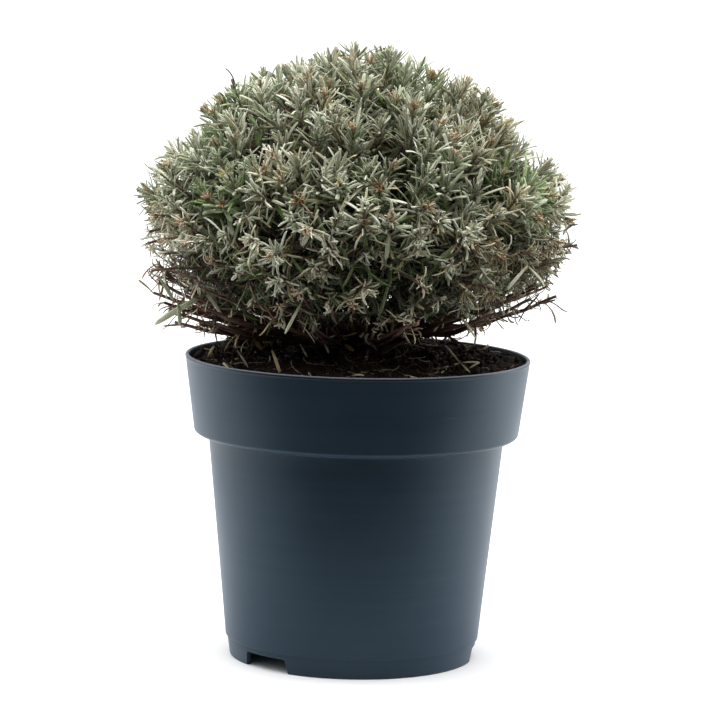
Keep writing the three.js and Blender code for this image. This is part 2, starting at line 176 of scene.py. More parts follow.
@dataclass(frozen=True)
class Ripple:
    """Smooth seeded relief: sine waves in chance directions, each octave half as long and half as high.

    Attributes:
        size: The longest waves' length.
        octaves: How many times the waves halve.
        seed: Which relief.
        waves: Waves in each octave.
    """

    size: float
    octaves: int = 3
    seed: int = 1
    waves: int = 7

    def at(self, points: Array) -> Array:
        """The relief's height, mostly between -1 and 1, at points (..., 3)."""
        rng = np.random.default_rng(self.seed)
        total = np.zeros(points.shape[:-1])
        for octave in range(self.octaves):
            headings = unit(rng.normal(size=(self.waves, 3))) * (2 * math.pi * 2**octave / self.size)
            phases = rng.uniform(0, 2 * math.pi, self.waves)
            waves = np.sin(points @ headings.T + phases).sum(axis=-1)
            total += waves / math.sqrt(self.waves) * 0.5**octave
        return total * 0.7


# ---------- meshes as arrays ----------


@dataclass
class Shape:
    """A closed mesh as arrays.

    Attributes:
        points: Corner positions, (n, 3).
        faces: Arrays of point numbers, each (m, corners).
        values: Named values at the points, (n,) or (n, 3), for the materials.
    """

    points: Array
    faces: list[Array]
    values: dict[str, Array] = field(default_factory=dict)

    @classmethod
    def joined(cls, shapes: "Sequence[Shape]") -> "Shape":
        """One shape that holds all of these, which have the same named values."""
        starts = np.cumsum([0, *[len(s.points) for s in shapes[:-1]]])
        faces = [face + start for s, start in zip(shapes, starts) for face in s.faces]
        values = {name: np.concatenate([s.values[name] for s in shapes]) for name in shapes[0].values}
        return cls(np.concatenate([s.points for s in shapes]), faces, values)

    def mesh(self, name: str) -> bpy.types.Mesh:
        """A smooth-shaded Blender mesh of this shape, with its values as point attributes."""
        mesh = bpy.data.meshes.new(name)
        corners = np.concatenate([face.ravel() for face in self.faces])
        totals = np.concatenate([np.full(len(face), face.shape[1]) for face in self.faces])
        starts = np.concatenate(([0], np.cumsum(totals)[:-1]))
        mesh.vertices.add(len(self.points))
        mesh.loops.add(len(corners))
        mesh.polygons.add(len(totals))
        mesh.vertices.foreach_set("co", self.points.astype(np.float32).ravel())
        mesh.loops.foreach_set("vertex_index", corners.astype(np.int32))
        mesh.polygons.foreach_set("loop_start", starts.astype(np.int32))
        mesh.polygons.foreach_set("use_smooth", np.ones(len(totals), dtype=bool))
        mesh.update(calc_edges=True)
        for label, values in self.values.items():
            vector = values.ndim == 2
            layer = mesh.attributes.new(label, "FLOAT_VECTOR" if vector else "FLOAT", "POINT")
            layer.data.foreach_set("vector" if vector else "value", values.astype(np.float32).ravel())
        return mesh


def grid_faces(rows: int, columns: int) -> Array:
    """Quads of a grid that closes along its columns, whose point (row, column) is row * columns + column."""
    row, column = np.meshgrid(np.arange(rows - 1), np.arange(columns), indexing="ij")
    after = (column + 1) % columns
    near, far = row * columns, (row + 1) * columns
    return np.stack((near + column, near + after, far + after, far + column), axis=-1).reshape(-1, 4)


def lathe(radius: Array, z: Array, azimuth: Array) -> Shape:
    """A closed solid turned about the Z axis: each grid point is polar(radius, azimuth, z).

    The rows run from the middle of the underside outwards, up the outside and back to the middle of the top.
    A single point on the axis closes each end.

    Args:
        radius: (rows, columns), without the two end points.
        z: (rows, columns), whose first and last rows give the end points' heights.
        azimuth: (columns,), growing.
    """
    rows, columns = radius.shape
    ring = polar(radius, azimuth[None, :], z).reshape(-1, 3)
    poles = np.array(((0, 0, z[0].mean()), (0, 0, z[-1].mean())))
    column = np.arange(columns)
    after = (column + 1) % columns
    last = (rows - 1) * columns
    low_pole = np.full(columns, rows * columns)
    low = np.stack((low_pole, after, column), axis=-1)
    high = np.stack((last + column, last + after, low_pole + 1), axis=-1)
    return Shape(np.concatenate((ring, poles)), [grid_faces(rows, columns), low, high])


def tubes(paths: Array, radii: Array, sides: int, age: Array) -> Shape:
    """Round stems along paths: each ring is centre + radius * (cos a * n1 + sin a * n2), square to the path.

    Args:
        paths: Centre lines, (n, steps, 3).
        radii: (n, steps).
        sides: Points in a ring.
        age: From 0, a green shoot, to 1, old wood, (n,) or (n, steps).

    Returns:
        The stems, with the values age, and grain, a vector whose z runs along the stem.
    """
    count, steps = radii.shape
    tangent = unit(np.gradient(paths, axis=1))
    reference = cross_axes(unit(paths[:, -1] - paths[:, 0]))[0][:, None, :]
    first = unit(np.cross(tangent, reference))
    second = np.cross(tangent, first)
    angle = np.arange(sides) * (2 * math.pi / sides)
    spoke = (first[:, :, None] * np.cos(angle)[:, None] + second[:, :, None] * np.sin(angle)[:, None])
    points = paths[:, :, None] + spoke * radii[:, :, None, None]
    strides = np.linalg.norm(np.diff(paths, axis=1), axis=-1)
    run = np.concatenate((np.zeros((count, 1)), np.cumsum(strides, axis=1)), axis=1)
    around = np.stack((np.cos(angle), np.sin(angle)), axis=-1)[None, None] * radii[:, :, None, None]
    shifted = (run + np.arange(count)[:, None] * 0.37)[:, :, None, None]
    along = np.broadcast_to(shifted, (count, steps, sides, 1))
    grain = np.concatenate((around, along), axis=-1)
    ages = np.broadcast_to(age.reshape(count, -1, 1), (count, steps, sides))
    return rods(points, {"grain": grain, "age": ages})


def rods(points: Array, values: dict[str, Array]) -> Shape:
    """Closed rods from rings of points, with flat ends.

    Args:
        points: (n, rings, sides, 3); a ring runs anticlockwise as seen from the rods' last ends.
        values: Named values at the points, (n, rings, sides) or (n, rings, sides, 3).

    Returns:
        All the rods as one shape.
    """
    count, rings, sides, _ = points.shape
    first = np.arange(count)[:, None, None] * (rings * sides)
    quads = (grid_faces(rings, sides)[None] + first).reshape(-1, 4)
    ring = np.arange(sides)
    low = ring[::-1][None, :] + first[:, :, 0]
    high = ring[None, :] + (rings - 1) * sides + first[:, :, 0]
    flat = {name: v.reshape(-1, 3) if v.ndim == 4 else v.reshape(-1) for name, v in values.items()}
    return Shape(points.reshape(-1, 3), [quads, low, high], flat)


# ---------- leaves ----------


class Rows:
    """A table whose fields are arrays with one row for each leaf or shoot."""

    def where(self, rows: Array) -> Self:
        """The rows that a mask keeps or that an index picks."""
        return type(self)(**{f.name: getattr(self, f.name)[rows] for f in fields(self)})

    def repeated(self, times: int) -> Self:
        """Each row a number of times."""
        return self.where(np.repeat(np.arange(len(getattr(self, fields(self)[0].name))), times))


@dataclass
class Blades(Rows):
    """Many leaves, one row for each.

    Attributes:
        root, along: Where the leaf grows, and its direction there, (n, 3).
        facing: The unit vector that its upper face looks to, square to along, (n, 3).
        length, width: In metres, the width where it is widest.
        bend, hook: Angles by which it turns away from facing on its way to the tip, and in its last third.
        sway, twist: Angles by which it turns sideways, and about itself.
        age: 0 fresh green, 0.5 felted grey-green, 0.75 straw, 1 dead brown.
        tint: Lightness from 0 to 1, partly by chance and partly painted light and shade.
        rust: How orange-brown it is, from 0 to 1.
        cut: 1 where the tip was sheared off, else 0.
    """

    root: Array
    along: Array
    facing: Array
    length: Array
    width: Array
    bend: Array
    hook: Array
    sway: Array
    twist: Array
    age: Array
    tint: Array
    rust: Array
    cut: Array

    @classmethod
    def joined(cls, groups: "Sequence[Blades]") -> "Blades":
        """All the leaves of several groups."""
        return cls(**{f.name: np.concatenate([getattr(g, f.name) for g in groups]) for f in fields(cls)})

    @classmethod
    def stated(cls, rows: Sequence[tuple[float, ...]]) -> "Blades":
        """Single leaves that look to the front.

        Args:
            rows: For each leaf its root x, y, z, its tip x, y, z and its width in millimetres, age and rust.

        Returns:
            The leaves, which sag a little on their way.
        """
        table = np.array(rows)
        root, tip = table[:, :3] * MM, table[:, 3:6] * MM
        along = unit(tip - root)
        n = len(table)
        level = np.full(n, 0.25)
        ahead = np.array((0.0, -0.85, 0.5))
        facing = unit(ahead - along * (along @ ahead)[:, None])
        return cls(
            root=root, along=along, facing=facing, length=np.linalg.norm(tip - root, axis=1),
            width=table[:, 6] * MM, bend=level, hook=level, sway=level * 0.3, twist=-level,
            age=table[:, 7], tint=np.full(n, 0.62), rust=table[:, 8], cut=np.zeros(n),
        )


@dataclass(frozen=True)
class BladeForm:
    """How a leaf's outline and section run, shared by every leaf.

    Attributes:
        rings: Shares of the length that carry a ring of points.
        round_tip: Half-width at each ring, as a share of the widest, of a whole leaf.
        cut_tip: The same of a leaf that was sheared off.
        depth: Thickness at each ring, as a share of the thickest.
        section: Points round the leaf: share of the half-width sideways, share of the thickness upwards.
        thickness: Thickness as a share of the width.
    """

    rings: tuple[float, ...] = (0.0, 0.2, 0.45, 0.7, 0.9, 1.0)
    round_tip: tuple[float, ...] = (0.42, 0.74, 0.95, 1.0, 0.84, 0.32)
    cut_tip: tuple[float, ...] = (0.42, 0.74, 0.95, 1.0, 1.0, 0.94)
    depth: tuple[float, ...] = (0.9, 1.0, 1.0, 0.95, 0.82, 0.5)
    section: tuple[tuple[float, float], ...] = (
        (0.4, 0.0), (1.0, -0.4), (0.45, -0.95), (-0.45, -0.95), (-1.0, -0.4), (-0.4, 0.0),
    )
    thickness: float = 0.34

    @classmethod
    def fine(cls) -> "BladeForm":
        """A narrow leaf whose edges are rolled under, with four points round it."""
        return cls(section=((0.0, 0.0), (1.0, -0.5), (0.0, -1.0), (-1.0, -0.5)), thickness=0.55)

    @classmethod
    def coarse(cls) -> "BladeForm":
        """A leaf of few faces, for what is seen only in the depth between the shoots."""
        return cls(
            rings=(0.0, 0.35, 0.75, 1.0), round_tip=(0.5, 1.0, 0.9, 0.3), cut_tip=(0.5, 1.0, 0.9, 0.3),
            depth=(0.9, 1.0, 0.9, 0.5), section=((0.0, 0.0), (1.0, -0.5), (0.0, -1.0), (-1.0, -0.5)),
        )

    def shape(self, b: Blades) -> Shape:
        """The leaves' surface.

        At a share s of its length a leaf's centre line has turned away from its face by bend * s^1.2 + hook *
        s^4, sideways by sway * s and about itself by twist * s. Each ring is the section, scaled by the
        half-width and the thickness there.

        Returns:
            Closed leaves with the values across, along, under, age, tint, rust and cut.
        """
        s = np.array(self.rings)[None, :, None]
        sizes = (b.sway, b.bend, b.hook, b.twist, b.length)
        sway, bend, hook, twist, length = (v[:, None, None] for v in sizes)
        side = np.cross(b.along, b.facing)[:, None]
        ahead = b.along[:, None] * np.cos(sway * s) + side * np.sin(sway * s)
        fall = bend * s**1.2 + hook * s**4
        heading = ahead * np.cos(fall) - b.facing[:, None] * np.sin(fall)
        face = b.facing[:, None] * np.cos(fall) + ahead * np.sin(fall)
        middle = (heading[:, 1:] + heading[:, :-1]) / 2 * np.diff(s, axis=1)
        centre = np.concatenate((np.zeros_like(middle[:, :1]), np.cumsum(middle, axis=1)), axis=1)
        centre = b.root[:, None] + centre * length
        edge = np.cross(heading, face)
        turn = twist * s
        face, edge = face * np.cos(turn) + edge * np.sin(turn), edge * np.cos(turn) - face * np.sin(turn)
        half = lerp(np.array(self.round_tip)[None], np.array(self.cut_tip)[None], b.cut[:, None])
        half = half * b.width[:, None] / 2
        deep = np.array(self.depth)[None] * b.width[:, None] * self.thickness
        across, up = np.array(self.section).T
        points = (
            centre[:, :, None]
            + edge[:, :, None] * (half[:, :, None] * across)[..., None]
            + face[:, :, None] * (deep[:, :, None] * up)[..., None]
        )
        values = {"across": across[None, None], "along": s, "under": (up < -0.5).astype(float)[None, None]}
        values |= {name: getattr(b, name)[:, None, None] for name in ("age", "tint", "rust", "cut")}
        return rods(points, {name: np.broadcast_to(v, points.shape[:3]) for name, v in values.items()})


# ---------- materials ----------


class Sheet:
    """A node tree that is being filled."""

    def __init__(self, tree: bpy.types.NodeTree) -> None:
        """Empties the tree."""
        self.tree = tree
        tree.nodes.clear()

    def add(self, kind: str, sockets: dict | None = None, **settings) -> bpy.types.Node:
        """A new node.

        Args:
            kind: Blender's name for the node, without its ShaderNode prefix.
            sockets: For each input's name or number, a number, colour or vector, or an output socket to join.
            settings: The node's own properties.

        Returns:
            The node.
        """
        node = self.tree.nodes.new(kind if kind.startswith("Node") else "ShaderNode" + kind)
        for name, value in settings.items():
            setattr(node, name, value)
        for key, value in (sockets or {}).items():
            if isinstance(value, Socket):
                self.tree.links.new(value, node.inputs[key])
            else:
                node.inputs[key].default_value = value
        return node

    def value(self, name: str) -> Socket:
        """A named value of the piece's points, as a number."""
        return self.add("Attribute", attribute_name=name).outputs["Fac"]

    def place(self) -> Socket:
        """Object coordinates."""
        return self.add("TexCoord").outputs["Object"]

    def maths(self, operation: str, *terms: Socket | float) -> Socket:
        """The result of a Math node on one to three terms."""
        return self.add("Math", dict(enumerate(terms)), operation=operation).outputs[0]

    def ranged(
        self, value: Socket, low: float, high: float, to_low: float = 0.0, to_high: float = 1.0
    ) -> Socket:
        """The value moved from one range to another, and held inside it."""
        return self.add("MapRange", {0: value, 1: low, 2: high, 3: to_low, 4: to_high}, clamp=True).outputs[0]

    def mixed(self, share: Socket | float, a: Socket | Colour, b: Socket | Colour) -> Socket:
        """Two colours mixed, with the share of the second."""
        return self.add("Mix", {0: share, 6: a, 7: b}, data_type="RGBA", blend_type="MIX").outputs[2]

    def ramp(self, value: Socket, stops: Sequence[tuple[float, Colour]]) -> Socket:
        """The value turned into a colour by stops of (place, colour)."""
        node = self.add("ValToRGB", {0: value})
        elements = node.color_ramp.elements
        for spare in list(elements)[1:]:
            elements.remove(spare)
        elements[0].position, elements[0].color = stops[0]
        for place, colour in stops[1:]:
            elements.new(place).color = colour
        return node.outputs[0]

    def mottle(self, place: Socket, scale: float, sharpness: float) -> Socket:
        """The shared mottle's mask at a place."""
        sockets = {"Vector": place, "Scale": scale, "Sharpness": sharpness}
        return self.add("Group", sockets, node_tree=bpy.data.node_groups[Effect.MOTTLE.value]).outputs[0]

    def pores(self, place: Socket, scale: float) -> Socket:
        """The shared pores' height at a place."""
        sockets = {"Vector": place, "Scale": scale}
        return self.add("Group", sockets, node_tree=bpy.data.node_groups[Effect.PORES.value]).outputs[0]

    def bump(self, height: Socket, strength: float, distance: float) -> Socket:
        """The normal that a height gives."""
        return self.add("Bump", {"Height": height, "Strength": strength, "Distance": distance}).outputs[0]

    def finish(self, sockets: dict) -> None:
        """The material's shader and output, from the shader's sockets."""
        shader = self.add("BsdfPrincipled", sockets)
        self.add("OutputMaterial", {0: shader.outputs[0]})


class Effect(Enum):
    """The effects that several materials share, by the names of their node groups."""

    MOTTLE = "uneven_mottle"
    PORES = "fine_pores"


class SharedEffects:
    """Builds the node groups that several finishes use, each once."""

    def build(self) -> None:
        """Makes the groups."""
        self._mottle()
        self._pores()

    @staticmethod
    def _sheet(effect: Effect, numbers: Sequence[str], output: str) -> tuple[Sheet, Sequence[Socket]]:
        """The sheet of an empty group that turns Vector and numbers into one output, and what it takes."""
        tree = bpy.data.node_groups.new(effect.value, "ShaderNodeTree")
        tree.interface.new_socket("Vector", in_out="INPUT", socket_type="NodeSocketVector")
        for name in numbers:
            tree.interface.new_socket(name, in_out="INPUT", socket_type="NodeSocketFloat")
        tree.interface.new_socket(output, in_out="OUTPUT", socket_type="NodeSocketFloat")
        sheet = Sheet(tree)
        return sheet, sheet.add("NodeGroupInput").outputs

    def _mottle(self) -> None:
        """Broad and narrow cloudiness in one mask from 0 to 1, with its contrast set by Sharpness."""
        sheet, given = self._sheet(Effect.MOTTLE, ("Scale", "Sharpness"), "Mask")
        sockets = {"Vector": given[0], "Scale": given[1], "Detail": 4.0, "Roughness": 0.6}
        centred = sheet.maths("SUBTRACT", sheet.add("TexNoise", sockets).outputs[0], 0.5)
        steep = sheet.add("Math", {0: centred, 1: given[2], 2: 0.5}, operation="MULTIPLY_ADD", use_clamp=True)
        sheet.add("NodeGroupOutput", {0: steep.outputs[0]})

    def _pores(self) -> None:
        """Fine relief for a Bump node: noise, and half the distance to the middles of small cells."""
        sheet, given = self._sheet(Effect.PORES, ("Scale",), "Height")
        grain = sheet.add("TexNoise", {"Vector": given[0], "Scale": given[1], "Detail": 3.0})
        cells = sheet.add("TexVoronoi", {"Vector": given[0], "Scale": given[1]})
        height = sheet.maths("MULTIPLY_ADD", cells.outputs[0], 0.5, grain.outputs[0])
        sheet.add("NodeGroupOutput", {0: height})


def new_material(name: str) -> tuple[bpy.types.Material, Sheet]:
    """An empty node material and the sheet that fills it."""
    material = bpy.data.materials.new(name)
    material.use_nodes = True
    return material, Sheet(material.node_tree)


@dataclass(frozen=True)
class LeafFelt:
    """Matt, felted leaf: green when fresh, grey-green when full-grown, straw and brown when it withers."""

    fresh: Colour = (0.15, 0.28, 0.055, 1)
    green: Colour = (0.22, 0.29, 0.12, 1)
    sage: Colour = (0.465, 0.48, 0.335, 1)
    olive: Colour = (0.43, 0.40, 0.21, 1)
    straw: Colour = (0.52, 0.44, 0.25, 1)
    brown: Colour = (0.17, 0.10, 0.055, 1)
    dead: Colour = (0.03, 0.018, 0.012, 1)
    down: Colour = (0.88, 0.89, 0.79, 1)
    bud: Colour = (0.38, 0.20, 0.09, 1)
    roughness: float = 0.75
    sheen: float = 0.3

    def material(self) -> bpy.types.Material:
        """Colour by age, paler at the rolled edges and underneath, painted shade at the root, and a felt
        relief.
        """
        material, sheet = new_material("leaf_felt")
        place = sheet.place()
        cloud = sheet.mottle(place, 260.0, 1.8)
        specks = sheet.mottle(place, 1400.0, 2.2)
        age = sheet.maths("MULTIPLY_ADD", cloud, 0.16, sheet.maths("SUBTRACT", sheet.value("age"), 0.08))
        colour = sheet.ramp(age, (
            (0.0, self.fresh), (0.28, self.green), (0.48, self.sage), (0.61, self.olive), (0.73, self.straw),
            (0.86, self.brown), (1.0, self.dead),
        ))
        across = sheet.maths("ABSOLUTE", sheet.value("across"))
        edge = sheet.ranged(across, 0.55, 1.0, 0.0, 0.42)
        felt = sheet.maths("MULTIPLY_ADD", sheet.value("under"), 0.34, edge)
        felt = sheet.maths("MULTIPLY_ADD", specks, 0.18, felt)
        felt = sheet.maths("ADD", felt, sheet.ranged(sheet.value("along"), 0.35, 1.0, 0.0, 0.26))
        alive = sheet.ranged(sheet.value("age"), 0.5, 0.8, 1.0, 0.12)
        grown = sheet.ranged(sheet.value("age"), 0.1, 0.42, 0.25, 1.0)
        felt = sheet.maths("MULTIPLY", felt, sheet.maths("MULTIPLY", alive, grown))
        colour = sheet.mixed(felt, colour, self.down)
        colour = sheet.mixed(sheet.maths("MULTIPLY", sheet.value("rust"), 0.9), colour, self.bud)
        # Lightness follows each leaf's chance tone and its painted light and shade.
        lightness = sheet.ranged(sheet.value("tint"), 0.0, 1.0, 0.3, 1.38)
        # Painted shade: darker towards the leaf's root.
        root = sheet.ranged(sheet.value("along"), 0.0, 0.35, 0.4, 1.0)
        lightness = sheet.maths("MULTIPLY", lightness, root)
        depth = sheet.ranged(lightness, 0.25, 1.25, 1.65, 0.82)
        sockets = {"Saturation": depth, "Value": lightness, "Color": colour}
        colour = sheet.add("HueSaturation", sockets).outputs[0]
        sheared = sheet.value("cut")
        scar = sheet.maths("MULTIPLY", sheared, sheet.ranged(sheet.value("along"), 0.94, 1.0, 0.0, 0.7))
        colour = sheet.mixed(scar, colour, self.straw)
        relief = sheet.pores(place, 2600.0)
        groove = sheet.ranged(across, 0.0, 0.5, -1.5, 0.0)
        sheet.finish({
            "Base Color": colour, "Roughness": self.roughness, "Specular IOR Level": 0.3,
            "Sheen Weight": self.sheen, "Sheen Roughness": 0.45,
            "Normal": sheet.bump(sheet.maths("ADD", relief, groove), 0.5, 0.15 * MM),
        })
        return material


@dataclass(frozen=True)
class Bark:
    """Dry brown bark that splits along the stem, green-grey on young shoots."""

    deep: Colour = (0.018, 0.011, 0.008, 1)
    brown: Colour = (0.115, 0.058, 0.038, 1)
    grey: Colour = (0.22, 0.155, 0.12, 1)
    young: Colour = (0.17, 0.17, 0.09, 1)

    def material(self) -> bpy.types.Material:
        """Fibres are noise on the grain vector, drawn out along the stem."""
        material, sheet = new_material("lavender_bark")
        grain = sheet.add("Attribute", attribute_name="grain").outputs["Vector"]
        drawn = sheet.add("VectorMath", {0: grain, 1: (1.0, 1.0, 0.12)}, operation="MULTIPLY").outputs[0]
        fibres = sheet.mottle(drawn, 900.0, 2.6)
        patches = sheet.mottle(grain, 160.0, 2.0)
        old = sheet.ramp(fibres, ((0.0, self.deep), (0.45, self.brown), (1.0, self.grey)))
        old = sheet.mixed(sheet.maths("MULTIPLY", patches, 0.5), old, self.brown)
        youth = sheet.ranged(sheet.value("age"), 0.0, 0.7, 0.9, 0.0)
        colour = sheet.mixed(youth, old, self.young)
        relief = sheet.maths("ADD", fibres, sheet.pores(drawn, 1500.0))
        sheet.finish({"Base Color": colour, "Roughness": 0.85, "Normal": sheet.bump(relief, 0.8, 0.3 * MM)})
        return material


@dataclass(frozen=True)
class Peat:
    """Dark damp peat with lighter fibres and crumbs."""

    wet: Colour = (0.005, 0.003, 0.002, 1)
    dark: Colour = (0.014, 0.009, 0.006, 1)
    dry: Colour = (0.05, 0.031, 0.019, 1)

    def material(self) -> bpy.types.Material:
        """Two scales of mottle for the colour, and pores for the relief."""
        material, sheet = new_material("damp_peat")
        place = sheet.place()
        clods, crumbs = sheet.mottle(place, 70.0, 2.0), sheet.mottle(place, 700.0, 3.0)
        tone = sheet.maths("MULTIPLY_ADD", clods, 0.45, sheet.maths("MULTIPLY", crumbs, 0.55))
        colour = sheet.ramp(tone, ((0.0, self.wet), (0.5, self.dark), (1.0, self.dry)))
        relief = sheet.bump(sheet.pores(place, 900.0), 1.0, 0.8 * MM)
        roughness = sheet.ranged(clods, 0.0, 1.0, 0.7, 0.98)
        shine = {"Roughness": roughness, "Specular IOR Level": 0.15}
        sheet.finish({"Base Color": colour, **shine, "Normal": relief})
        return material


@dataclass(frozen=True)
class PotPlastic:
    """Satin blue-grey moulded plastic with faint level streaks and scuffs, and a painted rim highlight and
    shade.

    Attributes:
        body, cloud, streak, scuff: Its colour, that of broad patches, of level streaks, and of short marks.
        gloss, bloom: Tints of the reflections, and of the soft light that it shows from the side.
        painted_lip_shade, painted_rim_highlight: Painted shade under the rim's edge, and a painted highlight
            on it.
        lip_shade_band, rim_highlight_band: Heights between which each comes in.
        roughness: The least and the greatest.
    """

    body: Colour = (0.0115, 0.0195, 0.029, 1)
    cloud: Colour = (0.0155, 0.0255, 0.037, 1)
    streak: Colour = (0.021, 0.033, 0.046, 1)
    scuff: Colour = (0.13, 0.15, 0.17, 1)
    gloss: Colour = (0.7, 0.91, 1.0, 1)
    bloom: Colour = (0.2, 0.56, 1.0, 1)
    painted_rim_highlight: Colour = (0.55, 0.59, 0.64, 1)
    painted_lip_shade: Colour = (0.004, 0.004, 0.005, 1)
    lip_shade_band: tuple[float, float] = (164.6 * MM, 166.3 * MM)
    rim_highlight_band: tuple[float, float] = (166.3 * MM, 166.9 * MM)
    roughness: tuple[float, float] = (0.36, 0.46)

    def material(self) -> bpy.types.Material:
        """Scuffs are narrow peaks of a noise drawn out level round the pot, inside a few broad patches."""
        material, sheet = new_material("pot_plastic")
        place = sheet.place()
        cloud = sheet.mottle(place, 26.0, 1.6)
        colour = sheet.mixed(cloud, self.body, self.cloud)
        level = sheet.add("Mapping", {"Vector": place, "Scale": (6.0, 6.0, 420.0)}).outputs[0]
        streaks = sheet.mottle(level, 0.7, 1.5)
        colour = sheet.mixed(sheet.ranged(streaks, 0.3, 0.8, 0.0, 0.3), colour, self.streak)
        lines = sheet.ranged(sheet.mottle(level, 2.0, 1.0), 0.66, 0.74)
        patches = sheet.mottle(place, 17.0, 3.0)
        scuffs = sheet.maths("MULTIPLY", lines, sheet.ranged(patches, 0.7, 1.0, 0.0, 0.35))
        colour = sheet.mixed(scuffs, colour, self.scuff)
        height = sheet.add("SeparateXYZ", {0: place}).outputs["Z"]
        # Painted shade: a dark band on the lip's outer face, under its top edge.
        colour = sheet.mixed(sheet.ranged(height, *self.lip_shade_band, 0.0, 0.9), colour, self.painted_lip_shade)
        # Painted highlight: a pale line along the lip's top edge.
        colour = sheet.mixed(sheet.ranged(height, *self.rim_highlight_band, 0.0, 0.42), colour, self.painted_rim_highlight)
        relief = sheet.bump(sheet.pores(place, 1100.0), 0.12, 0.1 * MM)
        roughness = sheet.ranged(cloud, 0.0, 1.0, *self.roughness)
        sheet.finish({
            "Base Color": colour, "Roughness": sheet.maths("MULTIPLY_ADD", scuffs, 0.3, roughness),
            "Specular IOR Level": 0.24, "Specular Tint": self.gloss, "Sheen Weight": 0.1,
            "Sheen Tint": self.bloom, "Sheen Roughness": 0.6, "Normal": relief,
        })
        return material


@dataclass(frozen=True)
class StudioWhite:
    """The plain pale floor."""

    colour: Colour = (0.92, 0.92, 0.925, 1)

    def material(self) -> bpy.types.Material:
        """A matt white."""
        material, sheet = new_material("studio_white")
        sheet.finish({"Base Color": self.colour, "Roughness": 0.9, "Specular IOR Level": 0.1})
        return material


@dataclass(frozen=True)
class Finishes:
    """The plant's four materials."""

    leaf: bpy.types.Material
    bark: bpy.types.Material
    peat: bpy.types.Material
    plastic: bpy.types.Material

    @classmethod
    def made(cls) -> "Finishes":
        """Builds the shared effects and then each material."""
        SharedEffects().build()
        return cls(LeafFelt().material(), Bark().material(), Peat().material(), PotPlastic().material())


# ---------- pieces ----------


def place_piece(
    name: str, mesh: bpy.types.Mesh, finish: bpy.types.Material, node: Node
) -> None:
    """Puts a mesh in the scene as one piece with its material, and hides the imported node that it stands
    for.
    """
    mesh.materials.append(finish)
    piece = bpy.data.objects.new(name, mesh)
    bpy.context.scene.collection.objects.link(piece)
    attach(piece, "root")
    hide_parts(node.value)
    triangles = sum(len(p.vertices) - 2 for p in mesh.polygons)
    log.info("%s: %d triangles", name, triangles)


